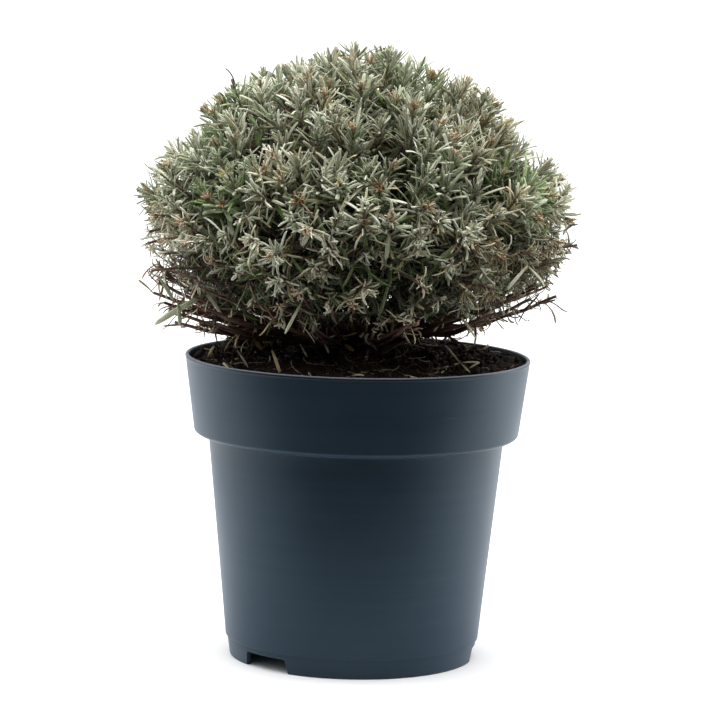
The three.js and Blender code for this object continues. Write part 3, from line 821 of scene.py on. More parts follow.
@dataclass(frozen=True)
class NurseryPot:
    """The moulded pot: lip, deep collar on a rounded ledge, tapered body, step line and notched foot ring.

    Attributes:
        rim_radius, height: The lip's outer radius, and its top.
        lip_height, lip_proud, lip_round: The lip's height, how far it stands out, and its edges' rounding.
        collar_foot_z, collar_foot_radius: The collar's lower end.
        ledge_height: Height over which the ledge under the collar is rounded.
        step_z, step_depth: The fine step line above the foot.
        floor_rings: Radii at which the floor has rings of points.
        notch_azimuths: The notches' middles in degrees.
        notch_below, notch_above: A notch's width at its foot and at its top.
        notch_left_over: What is left between a notch and the floor's underside.
        drain_circle: Radius of the circle that the drainage holes lie on.
        columns: Points round the pot, besides those at the notches' edges.
    """

    rim_radius: float
    height: float
    wall: float = 1.6 * MM
    lip_height: float = 3 * MM
    lip_proud: float = 0.5 * MM
    lip_round: float = 0.8 * MM
    collar_foot_z: float = 122.6 * MM
    collar_foot_radius: float = 89.6 * MM
    ledge_height: float = 3.4 * MM
    body_top_radius: float = 81.4 * MM
    body_foot_radius: float = 70.1 * MM
    step_z: float = 10.8 * MM
    step_depth: float = 0.7 * MM
    foot_radius: float = 67.7 * MM
    foot_wall: float = 2 * MM
    floor_under_z: float = 8 * MM
    floor_thickness: float = 1.8 * MM
    floor_rings: tuple[float, float] = (20 * MM, 52 * MM)
    notch_azimuths: tuple[float, ...] = (-43.5, 88.0, 202.0)
    notch_below: float = 32 * MM
    notch_above: float = 28.5 * MM
    notch_left_over: float = 0.1 * MM
    drain_count: int = 6
    drain_radius: float = 6 * MM
    drain_circle: float = 44 * MM
    columns: int = 300

    def dress(self, finish: Finishes) -> None:
        """Places the pot."""
        place_piece("nursery_pot", self.mesh(), finish.plastic, Node.POT)

    @property
    def floor_top(self) -> float:
        """Height of the floor's upper face."""
        return self.floor_under_z + self.floor_thickness

    @property
    def ledge_top(self) -> float:
        """Height at which the rounded ledge meets the collar."""
        return self.collar_foot_z + self.ledge_height

    @property
    def collar_top(self) -> tuple[float, float]:
        """Radius and height at which the collar meets the lip."""
        return self.rim_radius - self.lip_proud, self.height - self.lip_height

    def _arc(self, start: tuple[float, float], end: tuple[float, float], upright: bool, steps: int) -> Array:
        """A quarter of an ellipse from start to end, which sets out upright or level."""
        angle = np.linspace(0, math.pi / 2, steps + 1)
        quick, slow = np.sin(angle), 1 - np.cos(angle)
        out, up = (slow, quick) if upright else (quick, slow)
        return np.stack((lerp(start[0], end[0], out), lerp(start[1], end[1], up)), axis=-1)

    def profile(self) -> Array:
        """The outline's radii and heights, from the underside's middle round the wall to the floor's."""
        return np.concatenate([self._foot(), self._body(), self._collar(), self._inside()])

    def _foot(self) -> list[tuple[float, float]]:
        """The underside, the foot ring and the step line."""
        outer, inner, fillet = self.foot_radius, self.foot_radius - self.foot_wall, 0.3 * MM
        body, step = self.body_foot_radius, self.body_foot_radius - self.step_depth
        return [
            *((radius, self.floor_under_z) for radius in (*self.floor_rings, outer - self.wall)),
            (inner, fillet), (inner + fillet, 0), (outer - fillet, 0), (outer, fillet),
            (outer + 1.1 * MM, self.floor_under_z - 0.1 * MM),
            (step, self.step_z - 0.15 * MM), (step, self.step_z),
            (body - 0.2 * MM, self.step_z + 0.1 * MM), (body, self.step_z + 0.35 * MM),
        ]

    def _body(self) -> list[tuple[float, float]]:
        """The tapered wall between the step line and the ledge."""
        foot = (self.body_foot_radius, self.step_z)
        top = (self.body_top_radius, self.collar_foot_z - 0.8 * MM)
        shares = (0.02, 0.12, 0.25, 0.5, 0.75, 0.9, 0.99)
        return [(lerp(foot[0], top[0], share), lerp(foot[1], top[1], share)) for share in shares]

    def _collar(self) -> Array:
        """The ledge, the fold under the lip, and the lip's two rounded edges."""
        rim, height, rounding = self.rim_radius, self.height, self.lip_round
        collar, lip_foot = self.collar_top
        inner = collar - self.wall
        ledge = (self.body_top_radius + 0.5 * MM, self.collar_foot_z)
        return np.concatenate((
            self._arc(ledge, (self.collar_foot_radius, self.ledge_top), False, 12),
            self._arc((collar, lip_foot - 1.0 * MM), (rim, lip_foot + 1.6 * MM), True, 4),
            self._arc((rim, height - rounding), (rim - rounding, height), True, 5),
            self._arc((inner + rounding, height), (inner, height - rounding), False, 4),
        ))

    def _inside(self) -> list[tuple[float, float]]:
        """The wall's inner face and the floor's upper face."""
        foot, top, wall, fillet = self.body_foot_radius, self.body_top_radius, self.wall, 0.4 * MM
        collar, lip_foot = self.collar_top
        ledge_low, ledge_high = self.collar_foot_z + 1.5 * MM, self.ledge_top + 0.6 * MM
        return [
            (lerp(self.collar_foot_radius, collar, 0.5) - wall, lerp(ledge_high, lip_foot, 0.5)),
            (self.collar_foot_radius - wall, ledge_high), (top - wall, ledge_low),
            (lerp(foot, top, 0.5) - wall, lerp(self.floor_top, ledge_low, 0.5)),
            (foot - wall, self.floor_top + fillet), (foot - wall - fillet, self.floor_top),
            *((radius, self.floor_top) for radius in self.floor_rings[::-1]),
        ]

    def _azimuths(self) -> Array:
        """Even azimuths, with the notches' edges added and their close neighbours left out."""
        edges = np.array([self.notch_above, self.notch_below]) / 2 / self.foot_radius
        near = edges.mean()
        middle = np.radians(np.array(self.notch_azimuths))[:, None]
        offsets = np.concatenate((edges, -edges, [near, -near]))
        fixed = (middle + offsets).ravel() % (2 * math.pi)
        even = np.arange(self.columns) * (2 * math.pi / self.columns)
        gap = np.abs(wrapped(even[:, None] - fixed)).min(axis=1)
        return np.sort(np.concatenate((even[gap > 0.3 * math.pi / self.columns], fixed)))

    def _notch_height(self, azimuth: Array) -> Array:
        """How high the foot ring's edge is lifted, with a straight rise at a notch's sides."""
        middle = np.radians(np.array(self.notch_azimuths))[:, None]
        away = np.abs(wrapped(azimuth - middle)).min(axis=0) * self.foot_radius
        top = self.floor_under_z - self.notch_left_over
        return np.interp(away, (self.notch_above / 2, self.notch_below / 2), (top, 0.0))

    def mesh(self) -> bpy.types.Mesh:
        """The outline turned round, with the foot's rows lifted in the notches, and then drained."""
        azimuth = self._azimuths()
        rows = self.profile()
        radius = np.repeat(rows[:, :1], len(azimuth), axis=1)
        z = np.repeat(rows[:, 1:], len(azimuth), axis=1)
        foot = (z < self.floor_under_z) & (radius > self.foot_radius - self.foot_wall - MM)
        height = lerp(self._notch_height(azimuth)[None, :], self.floor_under_z, z / self.floor_under_z)
        taper = (self.body_foot_radius - self.step_depth - self.foot_radius) / self.step_z
        outer = radius > self.foot_radius - self.foot_wall / 2
        shift = np.where(outer, taper, 0.2 * taper) * (height - z)
        shape = lathe(np.where(foot, radius + shift, radius), np.where(foot, height, z), azimuth)
        return self._drained(shape.mesh("pot"))

    def _drained(self, mesh: bpy.types.Mesh) -> bpy.types.Mesh:
        """The pot's mesh with its drainage holes, and with its edges kept sharp."""
        angle = np.arange(self.drain_count) * (2 * math.pi / self.drain_count)
        foot = polar(self.drain_circle, angle, self.floor_under_z - 2 * MM)
        paths = np.stack((foot, foot + UP * 3 * MM, foot + UP * 6 * MM), axis=1)
        radii = np.full(paths.shape[:2], self.drain_radius)
        cutter = bpy.data.objects.new("drain_cutter", tubes(paths, radii, 32, angle).mesh("drain_cutter"))
        body = bpy.data.objects.new("pot_body", mesh)
        for thing in (cutter, body):
            bpy.context.scene.collection.objects.link(thing)
        cut = body.modifiers.new("drain_holes", "BOOLEAN")
        cut.operation, cut.solver, cut.object = "DIFFERENCE", "EXACT", cutter
        seen = body.evaluated_get(bpy.context.evaluated_depsgraph_get())
        finished = bpy.data.meshes.new_from_object(seen)
        finished.name = "nursery_pot"
        for thing in (cutter, body):
            bpy.data.objects.remove(thing)
        finished.set_sharp_from_angle(angle=math.radians(38))
        return finished


@dataclass(frozen=True)
class SoilBed:
    """The peat in the pot: a low mound with clods, crumbs, fibres and dry leaves.

    Attributes:
        pot: The pot that it fills.
        top_z: The surface's height at the wall, without the mound.
        mound, edge_dip, back_rise: How much it rises in the middle, dips at the wall and rises to the back.
        gap: Space between the peat and the pot.
        clods, lumps, grit: The surface's relief, coarse to fine.
        rings, segments: Points across and round the surface.
        crumbs, fibres, litter: How many lie on it.
        dark_from: The x right of which fallen leaves are darkened, as painted shade.
        placed: Fallen and leaning leaves: root and tip in millimetres, width, age, rust.
    """

    pot: NurseryPot
    top_z: float = 163.3 * MM
    mound: float = 3.5 * MM
    gap: float = 0.4 * MM
    edge_dip: float = 0.6 * MM
    back_rise: float = 2.4 * MM
    clods: Ripple = Ripple(30 * MM, 2, 5)
    lumps: Ripple = Ripple(13 * MM, 2, 6)
    grit: Ripple = Ripple(4.5 * MM, 2, 7)
    rings: int = 110
    segments: int = 360
    crumbs: int = 1700
    fibres: int = 240
    litter: int = 120
    dark_from: float = -25 * MM
    placed: tuple[tuple[float, ...], ...] = (
        (55.4, -30, 168, 46.1, -22, 177.6, 1.3, 0.6, 0), (55.4, -30, 168, 62.4, -50, 164, 1.4, 0.6, 0.1),
        (55.4, -30, 168, 42.8, -40, 164, 1.2, 0.58, 0), (55.4, -30, 168, 66.9, -26, 169.3, 1.1, 0.55, 0),
        (50, -34, 166, 44, -47, 164, 1.1, 0.62, 0), (60, -38, 166, 66, -34, 170, 1.0, 0.58, 0),
        (-45.9, -56, 175.9, -40.2, -62, 164, 1.9, 0.74, 0.1),
        (-64.9, -46, 174.2, -57.8, -46, 165, 1.3, 0.4, 0),
        (-82, -14, 166, -79, -12, 172.4, 1.5, 0.6, 0), (-73.5, -42, 164, -66.3, -60, 164, 2.2, 0.72, 0.35),
        (-78.6, -14, 164, -71.7, -34, 164, 1.6, 0.66, 0.1), (-68, -52, 164, -74, -40, 168, 1.4, 0.6, 0),
        (-59.1, 0, 175, -52.2, -6, 171, 2.6, 0.8, 0.9), (-56, -2, 171, -60, -8, 177, 1.8, 0.78, 0.8),
        (-8.2, -30, 177, -2.2, -34, 174.5, 2.6, 0.76, 0.75), (-31.7, -20, 175, -27.6, -30, 171, 1.2, 0.6, 0),
        (-21.8, -40, 185, -15, -46, 174.3, 1.1, 0.62, 0), (-2.8, -72, 165, 4.5, -66, 166, 1.2, 0.66, 0),
        (24.7, -70, 166, 33.6, -74, 165, 1.1, 0.6, 0), (-62, -60, 164, -50, -66, 164, 1.3, 0.7, 0.2),
    )

    def dress(self, finish: Finishes) -> None:
        """Places the bed and what lies on it."""
        parts = {
            "soil_bed": (self.bed_shape(), finish.peat),
            "soil_crumbs": (self.crumb_shape(), finish.peat),
            "soil_fibres": (self.fibre_shape(), finish.bark),
            "fallen_leaves": (BladeForm().shape(self.litter_blades()), finish.leaf),
        }
        for name, (shape, material) in parts.items():
            place_piece(name, shape.mesh(name), material, Node.SOIL)

    def edge_radius(self) -> float:
        """Radius at which the soil's surface meets the pot."""
        pot = self.pot
        share = (self.top_z - pot.ledge_top) / (pot.height - pot.ledge_top)
        return lerp(pot.collar_foot_radius, pot.collar_top[0], share) - pot.wall - self.gap

    def height(self, points: Array) -> Array:
        """The surface's height over points (..., 3).

        It is a mound of cosine section that dips at the wall and rises to the back, with the relief on it.
        """
        level = points * (1, 1, 0)
        share = np.clip(np.linalg.norm(level, axis=-1) / self.edge_radius(), 0, 1)
        mound = self.mound * np.cos(share * math.pi / 2) - self.edge_dip * share**14
        clods = 1.5 * self.clods.at(level) + 1.3 * np.abs(self.lumps.at(level))
        grit = 0.7 * np.abs(self.grit.at(level))
        rise = self.back_rise * points[..., 1] / self.edge_radius()
        return self.top_z + 0.4 * MM + mound + rise + (clods + grit) * MM * (1 - 0.4 * share**8)

    def bed_shape(self) -> Shape:
        """A lathe from the pot's floor up its wall and over the surface."""
        pot = self.pot
        azimuth = np.arange(self.segments) * (2 * math.pi / self.segments)
        floor = pot.floor_top + self.gap
        ledge_low, ledge_high = pot.collar_foot_z + 1.5 * MM, pot.ledge_top + 1.2 * MM
        inset = pot.wall + self.gap
        side = [
            (20 * MM, floor), (pot.body_foot_radius - inset - 0.6 * MM, floor),
            (pot.body_top_radius - inset, ledge_low), (pot.collar_foot_radius - inset, ledge_high),
            (self.edge_radius() - 0.3 * MM, self.top_z - 6 * MM),
        ]
        out, up = np.array(side).T
        radius = np.concatenate((out, self.edge_radius() * np.linspace(1, 0.008, self.rings)))
        radius = np.repeat(radius[:, None], len(azimuth), axis=1)
        z = np.repeat(up[:, None], len(azimuth), axis=1)
        top = self.height(polar(radius[len(side):], azimuth[None], 0.0))
        return lathe(radius, np.concatenate((z, top)), azimuth)

    def _spots(self, rng: Generator, count: int, inner: float, outer: float) -> Array:
        """Chance points over the bed between two shares of its radius, at z = 0."""
        radius = self.edge_radius() * np.sqrt(rng.uniform(inner**2, outer**2, count))
        return polar(radius, rng.uniform(0, 2 * math.pi, count), 0.0)

    def crumb_shape(self) -> Shape:
        """Crumbs of peat, each a ball of three rings and two ends whose points are pushed in by chance."""
        rng = np.random.default_rng(51)
        spots = self._spots(rng, self.crumbs, 0.08, 0.975)
        size = rng.uniform(0.5, 1.0, self.crumbs) ** 3 * 2.6 * MM
        spots[:, 2] = self.height(spots) + 0.25 * size
        latitude = np.radians((-72, -30, 18, 62))[None, :, None]
        longitude = (np.arange(6) * (math.pi / 3))[None, None, :] + rng.uniform(0, 6, (self.crumbs, 1, 1))
        squash = rng.uniform(0.6, 1.1, (self.crumbs, 3)) * size[:, None]
        spoke = np.stack(np.broadcast_arrays(
            np.cos(latitude) * np.cos(longitude), np.cos(latitude) * np.sin(longitude), np.sin(latitude)
        ), axis=-1)
        spoke = spoke * rng.uniform(0.7, 1.15, (*spoke.shape[:3], 1))
        points = spots[:, None, None] + spoke * squash[:, None, None]
        return rods(points, {})

    def fibre_shape(self) -> Shape:
        """Thin root fibres and bits of stem that lie on the soil."""
        rng = np.random.default_rng(52)
        spots = self._spots(rng, self.fibres, 0.1, 0.95)
        heading = rng.uniform(0, 2 * math.pi, self.fibres)
        run = polar(1.0, heading, 0.0) * rng.uniform(3, 9, (self.fibres, 1)) * MM
        sag = polar(1.0, heading + math.pi / 2, 0.0) * rng.uniform(-1.6, 1.6, (self.fibres, 1)) * MM
        inside = np.linalg.norm(spots + run, axis=1) < self.edge_radius() - 2 * MM
        start, run, sag = spots[inside], run[inside], sag[inside]
        paths = bezier(start, start + run * 0.3 + sag, start + run * 0.7 + sag, start + run, 5)
        paths[..., 2] = self.height(paths) + rng.uniform(0.1, 0.9, (len(paths), 1)) * MM
        radii = np.repeat(rng.uniform(0.1, 0.3, (len(paths), 1)) * MM, 6, axis=1)
        return tubes(paths, radii, 5, rng.uniform(0.3, 1.0, len(paths)))

    def litter_blades(self) -> Blades:
        """Fallen leaves that lie on the soil, and the placed ones, which lean on it or on each other."""
        rng = np.random.default_rng(53)
        n = self.litter
        root = self._spots(rng, n, 0.3, 0.9)
        heading = rng.uniform(0, 2 * math.pi, n)
        along = unit(polar(1.0, heading, rng.uniform(-0.05, 0.12, n)))
        length = rng.uniform(7, 15, n) * MM
        reach = np.linalg.norm(root[:, :2], axis=1) + length
        tip = root + along * length[:, None]
        inside = np.linalg.norm(tip[:, :2], axis=1) < self.edge_radius() - 6 * MM
        keep = inside | (reach < self.edge_radius() - 2 * MM)
        root[:, 2] = self.height(root) + rng.uniform(0.5, 1.6, n) * MM
        side = np.cross(along, UP)
        facing = unit(np.cross(side, along))
        b = Blades(
            root=root, along=along, facing=facing, length=length, width=rng.uniform(0.7, 1.6, n) * MM,
            bend=rng.uniform(-0.5, 0.35, n), hook=rng.normal(0, 0.8, n), sway=rng.normal(0, 1.1, n),
            twist=rng.normal(0, 0.9, n),
            age=rng.choice([0.55, 0.68, 0.76, 0.86, 0.95], n, p=[0.15, 0.25, 0.3, 0.2, 0.1]),
            tint=rng.uniform(0.1, 0.9, n), rust=rng.uniform(0, 0.25, n), cut=np.zeros(n),
        )
        # Painted shade: fallen leaves right of this x are darker.
        b.tint = b.tint * np.where(root[:, 0] < self.dark_from, 1.0, 0.45)
        placed = Blades.stated(self.placed)
        lying = placed.root + placed.along * placed.length[:, None]
        for points in (placed.root, lying):
            points[:, 2] = np.maximum(points[:, 2], self.height(points) + 0.6 * MM)
        placed.along = unit(lying - placed.root)
        along = placed.along
        placed.facing = unit(placed.facing - along * np.sum(placed.facing * along, axis=1, keepdims=True))
        return Blades.joined([b.where(keep), placed])


@dataclass(frozen=True)
class Crown:
    """The dome that the shears left: a surface of revolution about a slightly leaning axis, with soft lumps.

    Attributes:
        outline: Radius and height of the outline, from the top down to the underside's middle.
        centre_x, centre_z: The point that the dome is measured from.
        lean: Sideways shift for each metre of height.
        lean_z: Height at which the dome isn't shifted.
        lump: Height of the lumps as a share of the distance from the centre.
        lump_size: Their length, as seen on a sphere of radius 1.
        flank_rows: Rows of the outline above its underside.
    """

    outline: tuple[tuple[float, float], ...] = (
        (0.0, 0.338), (0.032, 0.3335), (0.055, 0.3235), (0.075, 0.311), (0.0905, 0.2975), (0.102, 0.284),
        (0.1115, 0.271), (0.119, 0.258), (0.1215, 0.246), (0.1195, 0.234), (0.117, 0.222), (0.113, 0.208),
        (0.101, 0.196), (0.085, 0.187), (0.062, 0.179), (0.036, 0.174), (0.0, 0.172),
    )
    centre_x: float = -0.004
    centre_z: float = 0.236
    lean: float = 0.035
    lean_z: float = 0.232
    lump: float = 0.022
    lump_size: float = 0.9
    flank_rows: int = 13

    def _centred(self, points: Array) -> Array:
        """Points as seen from the dome's centre, with the lean taken out."""
        shift = self.centre_x + self.lean * (points[..., 2:] - self.lean_z)
        return points - np.concatenate((shift, 0 * shift, 0 * shift + self.centre_z), axis=-1)

    def radius_at(self, z: float) -> float:
        """The outline's radius above its underside, at a height."""
        radius, height = np.array(self.outline)[:self.flank_rows].T
        return float(np.interp(-z, -height, radius))

    def swell(self, directions: Array) -> Array:
        """The lumps' factor on the distance from the centre, for unit directions."""
        return 1 + self.lump * Ripple(self.lump_size, 2, 12).at(directions)

    def fill(self, points: Array) -> Array:
        """How far points are on the way from the centre, 0, to the dome's surface, 1."""
        away = self._centred(points)
        distance = np.linalg.norm(away, axis=-1)
        rise = np.arctan2(away[..., 2], np.hypot(away[..., 0], away[..., 1]))
        radius, z = np.array(self.outline).T
        angles = np.arctan2(z - self.centre_z, radius)
        reach = np.interp(-rise, -angles, np.hypot(radius, z - self.centre_z))
        return distance / (reach * self.swell(unit(away + 1e-9)))

    def spiral(self, count: int, lowest: float, rng: Generator) -> tuple[Array, Array]:
        """Points spread evenly over the dome in a golden spiral, and the surface's normals there.

        The share of the swept area up to the i-th point is (i + 0.5) / count.

        Args:
            count: How many points.
            lowest: Share of the outline's length, from the top, that carries points.
            rng: Source of the chance shifts.

        Returns:
            The points and the unit normals, each (count, 3).
        """
        knots = np.array(self.outline)
        run = np.concatenate(([0], np.cumsum(np.linalg.norm(np.diff(knots, axis=0), axis=1))))
        steps, window = 600, 25
        index = np.arange(float(steps))
        fine = np.linspace(0, run[-1] * lowest, steps)
        radius, z = np.interp(fine, run, knots[:, 0]), np.interp(fine, run, knots[:, 1])
        swept = np.cumsum(radius)
        chosen = (np.arange(count) + 0.5 + rng.uniform(-0.35, 0.35, count)) / count
        at = np.interp(np.clip(chosen, 0, 1), swept / swept[-1], index)
        azimuth = np.arange(count) * GOLDEN_ANGLE + rng.normal(0, 0.02, count)
        slope_r, slope_z = (
            np.convolve(np.gradient(np.pad(line, window // 2, "edge")), np.ones(window) / window, "valid")
            for line in (radius, z)
        )
        normal = unit(polar(-np.interp(at, index, slope_z), azimuth, np.interp(at, index, slope_r)))
        points = polar(np.interp(at, index, radius), azimuth, np.interp(at, index, z))
        points[:, 0] += self.centre_x + self.lean * (points[:, 2] - self.lean_z)
        centre = np.array((self.centre_x, 0.0, self.centre_z))
        away = points - centre
        return centre + away * self.swell(unit(away))[:, None], normal


@dataclass
class Sites(Rows):
    """Where leafy shoots end.

    Attributes:
        bud: The growing points, (n, 3).
        axis: The shoots' directions there, (n, 3).
        age: Each shoot's own age, as the leaves' ages are counted, (n,).
        vigour: Each shoot's size, about 1, (n,).
        breadth: How broad its leaves are, about 1, (n,).
        pale: How much paler than the others it is, by chance and by painted light and shade, about 0, (n,).
        low: How far the shoot belongs to the thin, withered lower flank, from 0 to 1, (n,).
        steep: How upright it is, from 0 to 1, (n,).
        rusty: 1 where its buds have dried to rust, else 0, (n,).
    """

    bud: Array
    axis: Array
    age: Array
    vigour: Array
    breadth: Array
    pale: Array
    low: Array
    steep: Array
    rusty: Array


@dataclass(frozen=True)
class LeafRange:
    """The ranges that the sizes of one kind of leaf are drawn from evenly.

    Attributes:
        place: Distance down from the bud, or out along a side stem, in millimetres.
        length: In millimetres.
        width: In millimetres.
        tilt: Angle to the stem, in degrees.
    """

    place: tuple[float, float]
    length: tuple[float, float]
    width: tuple[float, float]
    tilt: tuple[float, float]

    def drawn(self, rng: Generator, n: int) -> tuple[Array, Array, Array, Array]:
        """Each leaf's turn round its stem, angle to it in degrees, length and width."""
        turn, tilt = rng.uniform(0, 2 * math.pi, n), rng.uniform(*self.tilt, n)
        return turn, tilt, rng.uniform(*self.length, n) * MM, rng.uniform(*self.width, n) * MM


@dataclass(frozen=True)
class LeafyShoots:
    """The shoots of the dome: pairs of leaves, each a quarter turn from the last, with tufts in their axils.

    Attributes:
        crown: The surface that the shears left.
        count, lowest: Shoots spread evenly over it, down to this share of the outline's length.
        more_right, right_flank, right_scatter: Shoots added on the right flank, its least x, its least and
            greatest height, and their chance shift.
        scatter, clump_shift: Every shoot's chance shift, and that of whole clumps.
        bud_depth, depth_scatter, depth_ripple: How far inside the surface buds sit, and by how much that
            differs by chance and from clump to clump.
        low_from, low_over: Height below which the flank gets thin and withered, and how soon.
        upward, lean_scatter: How strongly the shoots turn up, and their chance lean.
        grown, low_age, low_breadth: Usual age of the leaves, and how much older and narrower low ones are.
        flank_painted_light, low_painted_light: Painted light that pales the flanks, and the low left, middle
            and right.
        rusty_share: Share of the buds that have dried to rust.
        sparse_left, sparse_below, sparse: Where the low left is sparse, and the share that is missing.
        under_z, under_from, under_slope, under_back: Height below which no leaf hangs, the x right of which
            it rises and how steeply, and how much lower it is at the back.
        bare_below, bare_over, bare_left: Height below which leaves have dropped, how soon, and the x left
            of which more have.
        unsheared_below: Height below which the shears cut less closely.
        depth, length, width, tilt: Each pair's distance from the bud, sizes, and angle to the shoot.
        axil_pairs, axil_leaves: Pairs with tufts in their axils, and leaves in a tuft.
        bud_scales, inner_leaves, curled: Scales round a bud, leaves down a stem, and long dry leaves in all.
        tuft_stem: Angle of a tuft's stem to the shoot.
        tuft_leaf, scale, curl, inner: The leaves of each of these kinds.
        fine_below: Width below which a leaf gets the form of a narrow one.
        fresh_spots: Azimuth, height and reach of places with shoots of their own age, and that age.
    """

    crown: Crown = field(default_factory=Crown)
    count: int = 490
    lowest: float = 0.93
    more_right: int = 34
    right_flank: tuple[float, float, float] = (0.045, 0.21, 0.238)
    right_scatter: float = 5 * MM
    scatter: float = 2.2 * MM
    clump_shift: float = 4.5 * MM
    bud_depth: float = 9.0 * MM
    depth_scatter: float = 2.6 * MM
    depth_ripple: float = 4 * MM
    low_from: float = 0.274
    low_over: float = 0.062
    upward: float = 0.44
    lean_scatter: float = 0.2
    grown: float = 0.43
    low_age: float = 0.18
    low_breadth: float = 0.43
    flank_painted_light: float = 0.12
    # Painted light and shade: the low left and middle paler, the low right darker.
    low_painted_light: tuple[float, float, float] = (0.4, 0.5, -0.9)
    rusty_share: float = 0.42
    sparse_left: float = -0.042
    sparse_below: float = 0.214
    sparse: float = 0.4
    under_z: float = 0.188
    under_from: float = 0.045
    under_slope: float = 0.3
    under_back: float = 0.012
    bare_below: float = 0.228
    bare_over: float = 0.042
    bare_left: float = -0.045
    unsheared_below: float = 0.262
    depth: tuple[float, ...] = (0.3, 1.6, 3.2, 5.2, 7.8, 11.0, 15.0, 19.5, 24.5)
    length: tuple[float, ...] = (6, 9.2, 11.6, 13.4, 14.8, 15.8, 16, 16, 15.5)
    width: tuple[float, ...] = (1.1, 1.4, 1.65, 1.8, 1.95, 2.0, 1.95, 1.9, 1.8)
    tilt: tuple[float, ...] = (9, 20, 31, 41, 50, 58, 65, 70, 75)
    axil_pairs: tuple[int, ...] = (3, 4, 5, 6, 7)
    axil_leaves: int = 2
    bud_scales: int = 18
    inner_leaves: int = 32
    curled: int = 520
    tuft_stem: tuple[float, float] = (22, 50)
    tuft_leaf: LeafRange = LeafRange(place=(0.5, 4.5), length=(5.5, 12), width=(1.1, 1.9), tilt=(8, 42))
    scale: LeafRange = LeafRange(place=(-2.0, 1.0), length=(3, 6), width=(0.8, 1.5), tilt=(4, 30))
    curl: LeafRange = LeafRange(place=(-2, 16), length=(13, 27), width=(0.7, 1.3), tilt=(15, 75))
    inner: LeafRange = LeafRange(place=(15, 72), length=(12, 24), width=(1.4, 2.8), tilt=(40, 130))
    fine_below: float = 1.45 * MM
    fresh_spots: tuple[tuple[float, float, float, float], ...] = (
        (-80, 0.303, 0.016, 0.1), (-67, 0.314, 0.012, 0.12), (-52, 0.265, 0.013, 0.1),
        (58, 0.281, 0.014, 0.12), (60, 0.252, 0.014, 0.1), (74, 0.262, 0.012, 0.1),
        (150, 0.28, 0.02, 0.12), (-140, 0.26, 0.02, 0.12), (-12, 0.197, 0.012, 0.57),
        (-7, 0.229, 0.011, 0.58), (13, 0.199, 0.012, 0.58), (37, 0.207, 0.012, 0.59),
        (-45, 0.222, 0.012, 0.57), (25, 0.238, 0.010, 0.57), (170, 0.21, 0.015, 0.57),
    )

    def dress(self, s: Sites, finish: Finishes) -> None:
        """Places the dome's leaves, by their kind and by the side of the dome that they are on."""
        for name, (form, blades) in self.pieces(s).items():
            place_piece(name, form.shape(blades).mesh(name), finish.leaf, Node.FOLIAGE)

    def sites(self) -> Sites:
        """The shoots' ends, a little inside the dome's surface, turned up from its normal."""
        rng = np.random.default_rng(21)
        points, normal = self._stands(rng)
        n = len(points)
        clump = np.stack([Ripple(0.06, 2, 34 + k).at(points) for k in range(3)], axis=-1)
        points = points + rng.normal(0, self.scatter, (n, 3)) + self.clump_shift * clump
        low = (self.low_from - points[:, 2]) / self.low_over + 0.22 * Ripple(0.07, 2, 33).at(points)
        low = np.clip(low, 0, 1)
        depth = self.bud_depth * (1 - 0.3 * low) + rng.normal(0, self.depth_scatter, n)
        depth = depth + self.depth_ripple * Ripple(0.05, 2, 31).at(points)
        bud = points - normal * depth[:, None]
        level = normal * np.where(normal[:, 2:] < 0, (1.0, 1.0, 0.35), (1.0, 1.0, 1.0))
        pull = self.upward * np.clip(0.35 + normal[:, 2], 0, None)
        axis = unit(unit(level) + UP * pull[:, None] + rng.normal(0, self.lean_scatter, (n, 3)))
        age = self.grown + 0.08 * Ripple(0.09, 2, 32).at(points) + rng.normal(0, 0.075, n)
        age = age + self.low_age * low
        for azimuth, z, reach, own_age in self.fresh_spots:
            spot = polar(self.crown.radius_at(z), math.radians(azimuth), z)
            near = np.clip(1.6 - np.linalg.norm(points - spot, axis=1) / reach, 0, 1)
            age = lerp(age, own_age, near * 0.9)
        s = Sites(
            bud=bud, axis=axis, age=age, vigour=rng.normal(1, 0.17, n).clip(0.62, 1.4),
            breadth=lerp(1.0, self.low_breadth, low) * rng.normal(1, 0.18, n).clip(0.6, 1.45),
            pale=rng.normal(0, 0.15, n) + self._own_light(bud), low=low, steep=np.clip(axis[:, 2], 0, 1),
            rusty=(rng.uniform(0, 1, n) < self.rusty_share * (1 - 0.5 * low)).astype(float),
        )
        x, z = bud[:, 0], bud[:, 2]
        missing = (x < self.sparse_left) & (z < self.sparse_below) & (rng.uniform(0, 1, n) < self.sparse)
        return s.where(((x < 0) | (z > self.underside(bud) + 3 * MM)) & ~missing)

    def _stands(self, rng: Generator) -> tuple[Array, Array]:
        """Where shoots reach the dome's surface, also those that thicken the right flank, and its normals."""
        points, normal = self.crown.spiral(self.count, self.lowest, rng)
        least_x, low, high = self.right_flank
        on_flank = (points[:, 0] > least_x) & (points[:, 2] > low) & (points[:, 2] < high)
        copied = rng.choice(np.flatnonzero(on_flank), self.more_right)
        shifted = points[copied] + rng.normal(0, self.right_scatter, (self.more_right, 3))
        return np.concatenate((points, shifted)), np.concatenate((normal, normal[copied]))

    def _own_light(self, bud: Array) -> Array:
        """Painted light and shade by a shoot's place: paler on the flanks and low, duller low on the right.
        """
        x, z = bud[:, 0], bud[:, 2]
        low = ramped(0.25 - z, 0.028)
        flank = ramped(np.abs(x) - 0.045, 0.04) * ramped(0.285 - z, 0.02)
        left, middle, right = self.low_painted_light
        by_side = left * ramped(-0.04 - x, 0.04) + middle * ramped(0.06 - np.abs(x), 0.03)
        return self.flank_painted_light * flank + low * (by_side + right * ramped(x - 0.035, 0.04))

